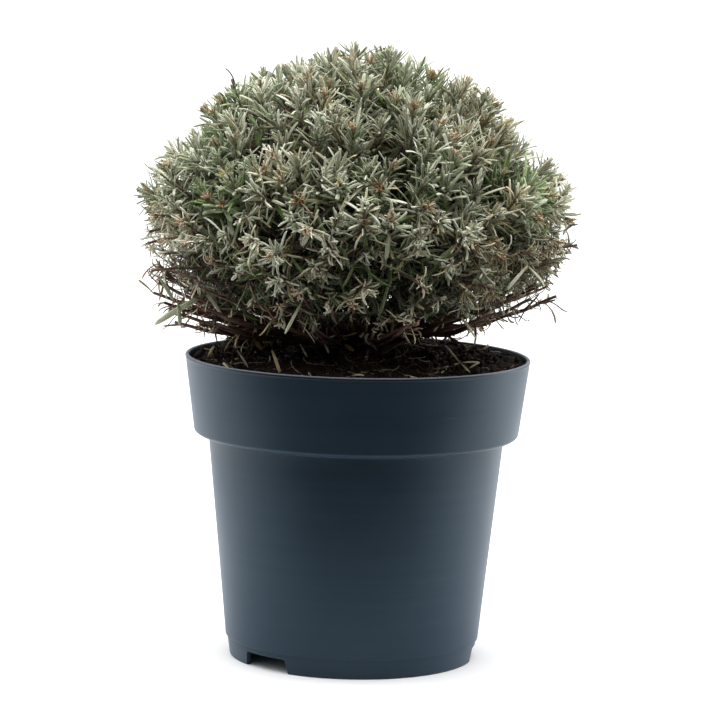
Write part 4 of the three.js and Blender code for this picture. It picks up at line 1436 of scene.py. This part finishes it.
    def _leaves(
        self, s: Sites, rng: Generator, root: Array, axis: Array, turn: Array, tilt: Array, length: Array,
        width: Array, age: Array,
    ) -> Blades:
        """Leaves at given angles round and away from their stems, with the chance bends that they all share.

        Each row of s is a leaf's shoot. Low leaves hang, and leaves curl up and shrink as they wither.
        """
        n = len(root)
        along, facing = tilted(axis, turn, tilt)
        hang = (s.low * rng.uniform(0.0, 1.15, n))[:, None]
        along = unit(along - UP * hang * 0.85)
        facing = unit(facing - along * np.sum(facing * along, axis=1, keepdims=True))
        dry = ramped(age - 0.6, 0.25)
        loose = 0.22 + 0.5 * s.low + 0.6 * dry
        age = age + rng.normal(0, 1, n) * 0.09 * s.low
        return Blades(
            root=root, along=along, facing=facing, length=length, width=width * (1 - 0.3 * dry),
            bend=rng.normal(0.24, 0.26, n) + rng.normal(0.1 + 0.9 * s.low, 1.1, n) * loose,
            hook=rng.normal(0, 0.9, n) * loose, sway=rng.normal(0, 0.9, n) * loose,
            twist=rng.normal(0, 0.7, n) * loose, age=age,
            tint=np.clip(0.5 + s.pale + rng.normal(0, 0.16 + 0.15 * s.low, n) + 0.34 * s.low, 0, 0.93),
            rust=np.zeros(n), cut=np.zeros(n),
        )

    def pair_blades(self, s: Sites) -> Blades:
        """The main leaves: opposite pairs down the shoot, each pair crossed over the last."""
        rng = np.random.default_rng(22)
        pairs, sites = len(self.depth), len(s.bud)
        own_turn = np.repeat(rng.uniform(0, math.pi, sites), 2 * pairs)
        s = s.repeated(2 * pairs)
        pair = np.tile(np.repeat(np.arange(pairs), 2), sites)
        other = np.tile([0.0, math.pi], sites * pairs)
        depth, full_length, full_width, tilt = (
            np.array(sizes)[pair] for sizes in (self.depth, self.length, self.width, self.tilt)
        )
        n = len(pair)
        turn = own_turn + pair * (math.pi / 2) + other + rng.normal(0, 1, n) * lerp(0.16, 0.5, s.low)
        spread = tilt * lerp(1.0, 0.6, s.steep) + 15 * s.rusty * (pair < 3)
        tilt = np.radians(spread + rng.normal(0, 1, n) * lerp(7, 19, s.low))
        root = s.bud - s.axis * (depth * MM * s.vigour)[:, None]
        length = full_length * MM * s.vigour * rng.uniform(0.72, 1.2, n) * lerp(1.0, 0.72, s.low)
        length = length * lerp(1.0, 1.2, ramped(s.steep - 0.55, 0.35))
        width = full_width * MM * s.breadth * rng.uniform(0.78, 1.18, n)
        age = s.age + rng.normal(0, 0.05, n) + 0.03 * np.clip(pair - 3, 0, None)
        left = ramped(-0.035 - s.bud[:, 0], 0.05)
        withered = rng.uniform(0, 1, n) < 0.06 + s.low * (0.2 + 0.35 * left)
        age = np.where(withered, rng.uniform(0.66, 0.86, n), age + 0.1 * left * s.low)
        return self._leaves(s, rng, root, s.axis, turn, tilt, length, width, age)

    def axil_blades(self, s: Sites) -> Blades:
        """Small leaves in tufts between the main leaves and the shoot."""
        rng = np.random.default_rng(23)
        sites = len(s.bud)
        tufts = 2 * len(self.axil_pairs)
        s = s.repeated(tufts * self.axil_leaves)
        pair = np.tile(np.repeat(self.axil_pairs, 2 * self.axil_leaves), sites)
        n = len(pair)
        leaf = self.tuft_leaf
        stem_turn = np.repeat(rng.uniform(0, 2 * math.pi, sites * tufts), self.axil_leaves)
        stem_axis, _ = tilted(s.axis, stem_turn, np.radians(rng.uniform(*self.tuft_stem, n)))
        depth = np.array(self.depth)[pair] * MM * s.vigour
        root = s.bud - s.axis * depth[:, None] + stem_axis * (rng.uniform(*leaf.place, n) * MM)[:, None]
        length = rng.uniform(*leaf.length, n) * MM * s.vigour * lerp(1.0, 0.82, s.low)
        width = rng.uniform(*leaf.width, n) * MM * lerp(1.0, 0.72, s.low)
        turn = rng.uniform(0, 2 * math.pi, n)
        tilt = np.radians(rng.uniform(*leaf.tilt, n))
        age = s.age - 0.04 + rng.normal(0, 0.06, n)
        b = self._leaves(s, rng, root, stem_axis, turn, tilt, length, width, age)
        return b.where(rng.uniform(0, 1, n) > 0.2 * s.low)

    def bud_blades(self, s: Sites) -> Blades:
        """Small scales round the buds, rusty on some shoots and sparse on the others."""
        rng = np.random.default_rng(25)
        s = s.repeated(self.bud_scales)
        n = len(s.bud)
        turn, tilt, length, width = self.scale.drawn(rng, n)
        tilt = np.radians(tilt + 10 * s.rusty)
        ahead = rng.uniform(*self.scale.place, n) + 1.5 * s.rusty * rng.uniform(0, 1, n)
        root = s.bud + s.axis * ahead[:, None] * MM
        age = np.where(s.rusty > 0, rng.uniform(0.6, 0.8, n), s.age - 0.1)
        b = self._leaves(s, rng, root, s.axis, turn, tilt, length, width, age)
        b.rust = s.rusty * rng.uniform(0.3, 1.0, n)
        return b.where((s.rusty > 0) | (rng.uniform(0, 1, n) < 0.3))

    def curled_blades(self, s: Sites) -> Blades:
        """Long thin dry leaves that loop down between the shoots of the lower flank."""
        rng = np.random.default_rng(27)
        s = s.where(rng.choice(np.flatnonzero(s.low > 0.35), self.curled))
        n = self.curled
        root = s.bud - s.axis * (rng.uniform(*self.curl.place, n) * MM)[:, None]
        turn, tilt, length, width = self.curl.drawn(rng, n)
        age = rng.choice([0.5, 0.62, 0.72, 0.8], n)
        b = self._leaves(s, rng, root, s.axis, turn, np.radians(tilt), length, width, age)
        b.bend = rng.uniform(0.8, 2.6, n)
        b.tint = np.clip(rng.uniform(0.35, 1.0, n) + 0.6 * s.pale, 0.05, 1)
        return b

    def inner_blades(self, s: Sites) -> Blades:
        """Dark green and withered leaves further down the stems, which fill the dome's inside, with painted
        shade.
        """
        rng = np.random.default_rng(24)
        s = s.repeated(self.inner_leaves)
        n = len(s.bud)
        depth = rng.uniform(*self.inner.place, n) * MM
        root = s.bud - s.axis * depth[:, None] + rng.normal(0, 6 * MM, (n, 3))
        turn, tilt, length, width = self.inner.drawn(rng, n)
        width = width * lerp(1.0, 0.6, s.low)
        age = np.where(rng.uniform(0, 1, n) < 0.6, rng.uniform(0.16, 0.34, n), rng.uniform(0.84, 1.0, n))
        b = self._leaves(s, rng, root, s.axis, turn, np.radians(tilt), length, width, age)
        # Painted shade: a low tint darkens them, less so near the top.
        b.tint = rng.uniform(0.0, 0.16, n) + 0.2 * ramped(root[:, 2] - 0.25, 0.04)
        floor = lerp(0.196, 0.182, ramped(root[:, 1], 0.03))
        inside = self.crown.fill(root + b.along * length[:, None]) < 0.96
        return b.where(inside & ((root[:, 2] > floor) | (rng.uniform(0, 1, n) < 0.35)))

    def underside(self, points: Array) -> Array:
        """Height below which no leaf hangs: level on the left, higher to the right, and lower behind."""
        right = self.under_slope * np.clip(points[:, 0] - self.under_from, 0, None)
        return self.under_z + right - self.under_back * ramped(points[:, 1], 0.03)

    def clipped(self, b: Blades) -> Blades:
        """Leaves that would pass the dome's surface, sheared off there; the lower flank was cut less closely.

        The share of a leaf that stays is (limit - root) / (tip - root), in terms of the dome's fill. Painted
        shade darkens leaves that start deeper in the dome and those near its underside, and many low ones
        have dropped.
        """
        rng = np.random.default_rng(26)
        n = len(b.root)
        x, y, z = b.root.T
        tip = b.root + b.along * b.length[:, None]
        at_root, at_tip = self.crown.fill(b.root), self.crown.fill(tip)
        limit = 1.0 + rng.normal(0, 0.014, n) + 0.025 * ramped(self.unsheared_below - z, 0.05)
        share = np.where(at_tip > limit, (limit - at_root) / np.maximum(at_tip - at_root, 1e-6), 1.0)
        left, right = ramped(self.bare_left - x, 0.02), ramped(x, 0.05)
        most = 0.6 + 0.22 * left - 0.18 * right
        dropped = np.clip((self.bare_below + 0.02 * left - z) / self.bare_over, 0, most)
        dropped = rng.uniform(0, 1, n) < dropped * (1 - 0.8 * ramped(y, 0.04))
        under = np.minimum(z, tip[:, 2]) < self.underside(tip)
        keep = (share > 0.25) & ~dropped & ~under
        share = np.clip(share, 0.25, 1)
        b.length = b.length * share
        b.cut = (share < 0.96).astype(float)
        # Painted shade: darker the deeper a leaf starts in the dome, less so high up, and darker towards the
        # bottom.
        high = ramped(z - 0.25, 0.04)
        b.tint = b.tint * np.clip((at_root - lerp(0.7, 0.62, high)) / 0.22, lerp(0.1, 0.4, high), 1)
        b.tint = b.tint * np.clip((z - 0.170) / 0.035, 0.1, 1)
        return b.where(keep)

    def pieces(self, s: Sites) -> dict[str, tuple[BladeForm, Blades]]:
        """Every leaf of the dome, by the name of the piece that it goes into, with that piece's leaf form."""
        main, tufts = self.clipped(self.pair_blades(s)), self.clipped(self.axil_blades(s))
        buds, inner = self.clipped(self.bud_blades(s)), self.inner_blades(s)
        curled = self.clipped(self.curled_blades(s))
        narrow = main.width < self.fine_below
        kinds = {
            "broad_leaves": (BladeForm(), main.where(~narrow)),
            "narrow_leaves": (BladeForm.fine(), Blades.joined([main.where(narrow), buds, curled])),
            "tufts": (BladeForm.fine(), tufts),
            "inner_leaves": (BladeForm.coarse(), inner),
        }
        result = {}
        for kind, (form, b) in kinds.items():
            azimuth = np.arctan2(b.root[:, 0], -b.root[:, 1])
            sector = np.round(azimuth / (math.pi / 4)).astype(int) % len(Side)
            for side in Side:
                result[f"{kind}_{side.name.lower()}"] = (form, b.where(sector == side.value))
        return result


def tapered(paths: Array, thick: float, thin: float) -> Array:
    """Radii that run evenly from thick to thin along each path, both given in millimetres, (n, steps)."""
    return np.repeat(np.linspace(thick, thin, paths.shape[1])[None] * MM, len(paths), axis=0)


@dataclass(frozen=True)
class WoodyFrame:
    """The trunk, the stout stems, their limbs and branches to every shoot, and the bare twigs low down.

    Attributes:
        trunk_radius, trunk_foot, trunk_top: The trunk's radius, lower end and fork.
        stems, stem_reach: How many stout stems part there, and how far out the outermost one ends.
        stem_top, stem_drop: How high the innermost one would end, and how much lower the outermost one.
        limbs, limb_share: Limbs in all, and the share of the way to its shoots that a limb goes.
        crown_root: The point from which the crown fans out.
        fan_below: Height below which a shoot's branch comes straight from there.
        stalks, stalk_reach: Thin dry stalks among the leaves, and how far out one may end.
        twig_leaves, spurs: Withered leaves on a low twig and on a side twig, and side twigs on each.
        dropped_below, dropped_right: Height below which most have dropped, and the x right of which it rises.
        long_leaves: Long leaves low on the flanks: root and tip in millimetres, width, age, rust.
        low_twigs: Bare twigs under the dome: azimuth, radius and height of the tip in millimetres, and curl.
    """

    trunk_radius: float = 10 * MM
    trunk_foot: float = 142 * MM
    trunk_top: float = 171 * MM
    stems: int = 7
    stem_reach: float = 62 * MM
    stem_top: float = 262 * MM
    stem_drop: float = 38 * MM
    limbs: int = 44
    limb_share: float = 0.78
    crown_root: tuple[float, float, float] = (0.0, 0.0, 0.19)
    fan_below: float = 0.214
    stalks: int = 44
    stalk_reach: float = 112 * MM
    twig_leaves: tuple[int, int] = (12, 4)
    spurs: int = 7
    dropped_below: float = 0.176
    dropped_right: float = 0.06
    long_leaves: tuple[tuple[float, ...], ...] = (
        (-82, -42, 204, -111, -44, 187, 3.4, 0.36, 0), (-97, -44, 199, -95, -48, 187, 2.3, 0.3, 0),
        (-107, -40, 211, -99, -44, 201, 2.3, 0.33, 0), (-92, -30, 214, -72, -52, 196, 2.0, 0.5, 0),
        (88, -74, 226, 78, -84, 215, 1.8, 0.5, 0), (88, -74, 226, 101, -64, 215, 1.8, 0.52, 0),
        (52, -72, 200, 62, -84, 190, 1.5, 0.6, 0), (-30, -92, 206, -38, -98, 190, 1.6, 0.55, 0),
    )
    low_twigs: tuple[tuple[float, float, float, float], ...] = (
        (-95, 102, 182, 6), (-90, 113, 199, -8), (-80, 110, 207, 7), (-101, 109, 215, -6),
        (-70, 104, 192, 10), (-84, 107, 195, -4), (-108, 109, 206, 9), (-76, 108, 212, -9),
        (-60, 98, 188, -12), (-118, 104, 198, 5),
        (86, 108, 203, 8), (70, 98, 204, -8), (106, 92, 204, 10), (124, 98, 203, -6),
        (-30, 92, 194, 12), (18, 92, 195, -10), (46, 92, 199, 12),
        (152, 98, 188, 8), (178, 96, 191, -10), (-150, 99, 189, 9), (-130, 97, 194, -9),
    )

    def dress(self, s: Sites, finish: Finishes) -> None:
        """Places the trunk with its stems and limbs, the branches, and the low twigs with their leaves."""
        stems = self.stem_paths()
        limbs, owner = self.limb_paths(s, stems)
        branches, stalks = self.branch_paths(s, limbs, owner), self.stalk_paths(s)
        green = lerp(0.95, lerp(0.15, 0.8, s.low)[:, None], np.linspace(0, 1, branches.shape[1])[None] ** 2)
        twigs = self.twig_paths()
        spurs = self.spur_paths(twigs)
        bark = {
            "trunk_and_limbs": [
                self.trunk_shape(),
                tubes(stems, tapered(stems, 4.8, 2.2), 12, np.ones(len(stems))),
                tubes(limbs, tapered(limbs, 2.1, 1.3), 8, np.full(len(limbs), 0.95)),
            ],
            "branches": [
                tubes(branches, tapered(branches, 1.3, 0.65), 6, green),
                tubes(stalks, tapered(stalks, 0.5, 0.32), 5, np.linspace(0.1, 0.7, len(stalks))),
            ],
            "low_twigs": [
                tubes(twigs, tapered(twigs, 2.2, 0.8), 8, np.full(len(twigs), 0.95)),
                tubes(spurs, tapered(spurs, 0.8, 0.4), 6, np.full(len(spurs), 0.9)),
            ],
        }
        for name, shapes in bark.items():
            place_piece(name, Shape.joined(shapes).mesh(name), finish.bark, Node.WOODY)
        dry = Shape.joined([
            BladeForm.fine().shape(self.withered_blades(twigs, spurs)),
            BladeForm().shape(Blades.stated(self.long_leaves)),
        ])
        place_piece("withered_leaves", dry.mesh("withered_leaves"), finish.leaf, Node.WOODY)

    def trunk_shape(self) -> Shape:
        """A short gnarled trunk: a tapering rod, ribbed by two sine waves round its axis."""
        steps, sides = 16, 40
        z = np.linspace(self.trunk_foot, self.trunk_top + 4 * MM, steps)
        path = np.stack((0 * z, 0 * z, z), axis=-1)[None]
        share = np.linspace(0, 1, steps)
        radii = (self.trunk_radius * (1.08 + 0.15 * np.cos(share * math.pi)) * np.sqrt(1.02 - share**6))[None]
        shape = tubes(path, radii, sides, np.ones(1))
        outward, z = shape.points * (1, 1, 0), shape.points[:, 2]
        turn = np.arctan2(outward[:, 1], outward[:, 0])
        ribs = 0.10 * np.sin(5 * turn + 60 * z) + 0.05 * np.sin(11 * turn - 140 * z)
        shape.points = shape.points + outward * ribs[:, None]
        return shape

    def stem_paths(self) -> Array:
        """The stout stems' centre lines, which lean out and turn a little round the trunk."""
        rng = np.random.default_rng(61)
        i = np.arange(self.stems)
        azimuth = i * GOLDEN_ANGLE
        share = (i + 0.5) / self.stems
        reach = self.stem_reach * np.sqrt(share) + rng.normal(0, 2 * MM, self.stems)
        top = self.stem_top - self.stem_drop * share
        knots = [polar(0.4 * self.trunk_radius, azimuth, self.trunk_top - 14 * MM)]
        for out, up in ((0.12, 0.1), (0.5, 0.5), (1.0, 1.0)):
            radius = 0.8 * self.trunk_radius + reach * out
            knots.append(polar(radius, azimuth + 0.26 * out, lerp(self.trunk_top, top, up)))
        return through(np.stack(knots, axis=1), 8)

    def limb_paths(self, s: Sites, stems: Array) -> tuple[Array, Array]:
        """Limbs from the stout stems towards groups of shoots.

        Each shoot belongs to the nearest of evenly spread hubs, which are moved to their groups' middles four
        times over. A limb starts at the point of a stem that is nearest to its end and well below it.

        Returns:
            The limbs' centre lines, and the number of each shoot's limb.
        """
        order = np.linspace(0, len(s.bud) - 1, self.limbs).astype(int)
        base = s.bud - s.axis * 30 * MM
        hubs = base[order]
        for _ in range(4):
            owner = np.linalg.norm(base[:, None] - hubs[None], axis=2).argmin(axis=1)
            sums = np.zeros_like(hubs)
            np.add.at(sums, owner, base)
            members = np.bincount(owner, minlength=self.limbs)[:, None]
            hubs = np.where(members > 0, sums / np.maximum(members, 1), hubs)
        centre = np.array(self.crown_root)
        ends = centre + (hubs - centre) * self.limb_share
        nodes = stems[:, 4:22].reshape(-1, 3)
        below = ends[:, None, 2] - nodes[None, :, 2]
        cost = np.linalg.norm(ends[:, None] - nodes[None], axis=2) + np.clip(12 * MM - below, 0, 0.05)
        start = nodes[cost.argmin(axis=1)]
        reach = ends - start
        level = reach * (1, 1, 0.25)
        return bezier(start, start + 0.4 * level + UP * 4 * MM, ends - 0.35 * reach, ends, 12), owner

    def branch_paths(self, s: Sites, limbs: Array, owner: Array) -> Array:
        """Thin branches to every bud, from its owner among the limbs or, low down, from the crown's root."""
        rng = np.random.default_rng(62)
        n = len(owner)
        end = s.bud
        azimuth = np.arctan2(end[:, 0], -end[:, 1]) + rng.normal(0, 0.25, n)
        crown_root = polar(rng.uniform(4, 11, n) * MM, azimuth, rng.uniform(0.170, 0.180, n))
        from_root = (end[:, 2] < self.fan_below)[:, None]
        start = np.where(from_root, crown_root, limbs[owner, rng.integers(7, 13, n)])
        pull = np.linalg.norm(end - start, axis=1)[:, None]
        first = start + unit(end - start + rng.normal(0, 6 * MM, start.shape)) * pull * 0.35
        sprung = end - (end - start) * 0.3 - UP * 5 * MM
        last = np.where(from_root, sprung, end - s.axis * np.maximum(0.45 * pull, 18 * MM))
        return bezier(start, first, last, end, 14)

    def twig_paths(self) -> Array:
        """The low twigs, which curl to one side and back, with a ripple that dies out at both ends."""
        azimuth, radius, z, curl = np.array(self.low_twigs).T
        azimuth, curl = np.radians(azimuth), np.radians(curl)
        radius, z = radius * MM, z * MM
        knots = [polar(5 * MM, azimuth, self.trunk_top - 6 * MM)]
        for out, turned, up in ((0.3, 0.6, 0.25), (0.68, 1.0, 0.5), (1.0, 0.0, 1.0)):
            knots.append(polar(radius * out, azimuth + curl * turned, lerp(self.trunk_top, z, up)))
        paths = through(np.stack(knots, axis=1), 8)
        wobble = np.stack([Ripple(0.03, 2, 71 + k).at(paths) for k in range(3)], axis=-1)
        share = np.linspace(0, 1, paths.shape[1])[None, :, None]
        return paths + wobble * 1.6 * MM * np.sin(share * math.pi)

    def spur_paths(self, twigs: Array) -> Array:
        """Short side twigs on the outer part of the low twigs."""
        rng = np.random.default_rng(63)
        index = np.repeat(np.arange(len(twigs)), self.spurs)
        n = len(index)
        at = rng.integers(9, twigs.shape[1] - 1, n)
        start = twigs[index, at]
        heading = unit(twigs[index, at + 1] - start)
        along, _ = tilted(heading, rng.uniform(0, 2 * math.pi, n), np.radians(rng.uniform(18, 55, n)))
        run = along * (rng.uniform(4, 13, n) * MM)[:, None]
        lift = UP * (rng.uniform(-1, 4, n) * MM)[:, None]
        return bezier(start, start + 0.3 * run, start + 0.7 * run + lift * 0.5, start + run + lift, 6)

    def stalk_paths(self, s: Sites) -> Array:
        """Thin dry stalks of some shoots, which stand between the leaves up to the dome's surface."""
        rng = np.random.default_rng(65)
        n = self.stalks
        pick = rng.choice(len(s.bud), n, replace=False)
        bud, axis = s.bud[pick], s.axis[pick]
        along, _ = tilted(axis, rng.uniform(0, 2 * math.pi, n), rng.uniform(0.1, 0.5, n))
        start = bud - axis * 8 * MM
        end = start + along * (rng.uniform(9, 15, n) * MM)[:, None]
        end[:, :2] *= np.minimum(1, self.stalk_reach / np.linalg.norm(end[:, :2], axis=1))[:, None]
        bow = rng.normal(0, 2.4 * MM, (n, 3))
        return bezier(start, start + (end - start) * 0.4 + bow, start + (end - start) * 0.7 + bow, end, 8)

    def withered_blades(self, twigs: Array, spurs: Array) -> Blades:
        """Dry, curled leaves that hang from the low twigs and their spurs, a few of them still grey-green."""
        rng = np.random.default_rng(64)
        on_twig, on_spur = (each * len(paths) for each, paths in zip(self.twig_leaves, (twigs, spurs)))
        twig, spur = (np.repeat(np.arange(len(p)), each) for p, each in zip((twigs, spurs), self.twig_leaves))
        root = np.concatenate((
            twigs[twig, rng.integers(12, twigs.shape[1], on_twig)], spurs[spur, rng.integers(2, 7, on_spur)],
        ))
        n = len(root)
        outward = unit(root * (1, 1, 0))
        along = unit(outward * 0.6 + rng.normal(0, 0.55, (n, 3)) - UP * rng.uniform(-0.8, 0.7, (n, 1)))
        side = unit(np.cross(along, UP) + 1e-6)
        age = rng.choice([0.45, 0.58, 0.7, 0.78, 0.88, 1.0], n, p=[0.1, 0.15, 0.2, 0.2, 0.2, 0.15])
        b = Blades(
            root=root, along=along, facing=np.cross(side, along), length=rng.uniform(5, 15, n) * MM,
            width=rng.uniform(0.8, 1.6, n) * MM, bend=rng.normal(0.3, 0.8, n), hook=rng.normal(0, 1.2, n),
            sway=rng.normal(0, 0.5, n), twist=rng.normal(0, 1.0, n), age=age, tint=rng.uniform(0.1, 0.9, n),
            rust=rng.uniform(0, 1, n) ** 3, cut=np.zeros(n),
        )
        lift = 0.2 * np.clip(root[:, 0] - self.dropped_right, 0, 1)
        kept = np.clip((root[:, 2] - self.dropped_below - lift) / 0.02, 0.12, 1)
        return b.where(rng.uniform(0, 1, n) < kept)


@dataclass(frozen=True)
class Panel:
    """A square soft light at a place, which looks at a target, with its side's length and its power."""

    name: str
    place: tuple[float, float, float]
    target: tuple[float, float, float]
    side: float
    watts: float

    def build(self) -> None:
        """Hangs the light, which shines along its own -Z axis, at its place."""
        data = bpy.data.lights.new(self.name, "AREA")
        data.shape, data.size, data.energy = "SQUARE", self.side, self.watts
        lamp = bpy.data.objects.new(self.name, data)
        bpy.context.scene.collection.objects.link(lamp)
        aim = Vector(self.target) - Vector(self.place)
        lamp.matrix_world = Matrix.Translation(self.place) @ aim.to_track_quat("-Z", "Y").to_matrix().to_4x4()


@dataclass(frozen=True)
class Studio:
    """The camera, fitted to the photograph, the pale floor, and soft light from above, behind and both sides.

    Attributes:
        distance, eye_height, eye_x: The camera's place: towards -Y, up, and to the right of the axis.
        pitch, roll: How far it looks down and is turned about its line of sight, in radians.
        focal_pixels, frame_pixels: Focal length and the frame's width, in the photograph's pixels.
        sensor: Width of the camera's sensor in millimetres.
        floor_reach, floor_front: How far the floor goes back and to both sides, and to the front.
        sky_low, sky_front, sky_back, sky_top: Light from low in front, in front, behind and overhead.
        backdrop: What the camera sees behind the floor.
        panels: The soft lights.
    """

    distance: float = 1.78
    eye_height: float = 0.3935
    eye_x: float = 0.0012
    pitch: float = 0.128
    roll: float = 0.023
    focal_pixels: float = 3257.0
    frame_pixels: float = 720.0
    sensor: float = 36.0
    floor_reach: float = 60.0
    floor_front: float = 0.19
    sky_low: Colour = (0.02, 0.02, 0.021, 1)
    sky_front: Colour = (0.64, 0.64, 0.65, 1)
    sky_back: Colour = (0.75, 0.75, 0.76, 1)
    sky_top: Colour = (2.75, 2.75, 2.75, 1)
    backdrop: Colour = (1.0, 1.0, 1.0, 1)
    panels: tuple[Panel, ...] = (
        Panel("top_panel", (-0.1, 0.05, 1.3), (0.0, 0.0, 0.25), 0.8, 10.0),
        Panel("left_panel", (-1.2, 0.42, 0.3), (0.0, 0.0, 0.17), 0.7, 2.9),
        Panel("right_panel", (1.2, 0.42, 0.3), (0.0, 0.0, 0.17), 0.7, 6.8),
    )

    def build(self) -> None:
        """Everything that isn't part of the plant, the camera first."""
        self._camera()
        self._floor()
        self._sky()
        for panel in self.panels:
            panel.build()
        bpy.context.scene.view_settings.view_transform = "Standard"

    def _camera(self) -> None:
        """The camera at the photograph's place, looking along +Y and slightly down."""
        data = bpy.data.cameras.new("camera")
        data.sensor_width = self.sensor
        data.lens = self.focal_pixels * self.sensor / self.frame_pixels
        data.clip_end = 50.0
        camera = bpy.data.objects.new("camera", data)
        bpy.context.scene.collection.objects.link(camera)
        turn = Matrix.Rotation(math.pi / 2 - self.pitch, 4, "X") @ Matrix.Rotation(self.roll, 4, "Z")
        camera.matrix_world = Matrix.Translation((self.eye_x, -self.distance, self.eye_height)) @ turn
        bpy.context.scene.camera = camera

    def _floor(self) -> None:
        """One pale plane at z = 0, which ends in front of the pot, so that the studio is dark there."""
        far, near = self.floor_reach, -self.floor_front
        mesh = bpy.data.meshes.new("studio_floor")
        corners = [(-far, near, 0), (far, near, 0), (far, far, 0), (-far, far, 0)]
        mesh.from_pydata(corners, [], [(0, 1, 2, 3)])
        mesh.materials.append(StudioWhite().material())
        floor = bpy.data.objects.new("studio_floor", mesh)
        bpy.context.scene.collection.objects.link(floor)

    def _sky(self) -> None:
        """Soft light from above, behind and the sides, with a dark front, before a plain white backdrop."""
        world = bpy.data.worlds.new("studio_sky")
        world.use_nodes = True
        bpy.context.scene.world = world
        sheet = Sheet(world.node_tree)
        direction = sheet.add("TexCoord").outputs["Generated"]
        split = sheet.add("SeparateXYZ", {0: direction}).outputs
        behind = sheet.ranged(split["Y"], -0.45, 0.35)
        front = sheet.mixed(sheet.ranged(split["Z"], 0.1, 0.45), self.sky_low, self.sky_front)
        overhead = sheet.ranged(split["Z"], 0.6, 0.85)
        sky = sheet.mixed(overhead, sheet.mixed(behind, front, self.sky_back), self.sky_top)
        light = sheet.add("Background", {0: sky})
        plain = sheet.add("Background", {0: self.backdrop})
        seen = sheet.add("LightPath").outputs["Is Camera Ray"]
        both = sheet.add("MixShader", {0: seen, 1: light.outputs[0], 2: plain.outputs[0]})
        sheet.add("OutputWorld", {0: both.outputs[0]})


def main() -> None:
    """Builds the studio, the pot, the soil, the woody frame and the foliage, in that order."""
    logging.basicConfig(level=logging.INFO, format="%(name)s: %(message)s")
    Studio().build()
    finish = Finishes.made()
    low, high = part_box(Node.POT.value)
    pot = NurseryPot(rim_radius=(high.x - low.x) / 2, height=high.z)
    pot.dress(finish)
    SoilBed(pot).dress(finish)
    shoots = LeafyShoots()
    sites = shoots.sites()
    WoodyFrame().dress(sites, finish)
    shoots.dress(sites, finish)
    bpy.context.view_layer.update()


if __name__ == "__main__":
    main()
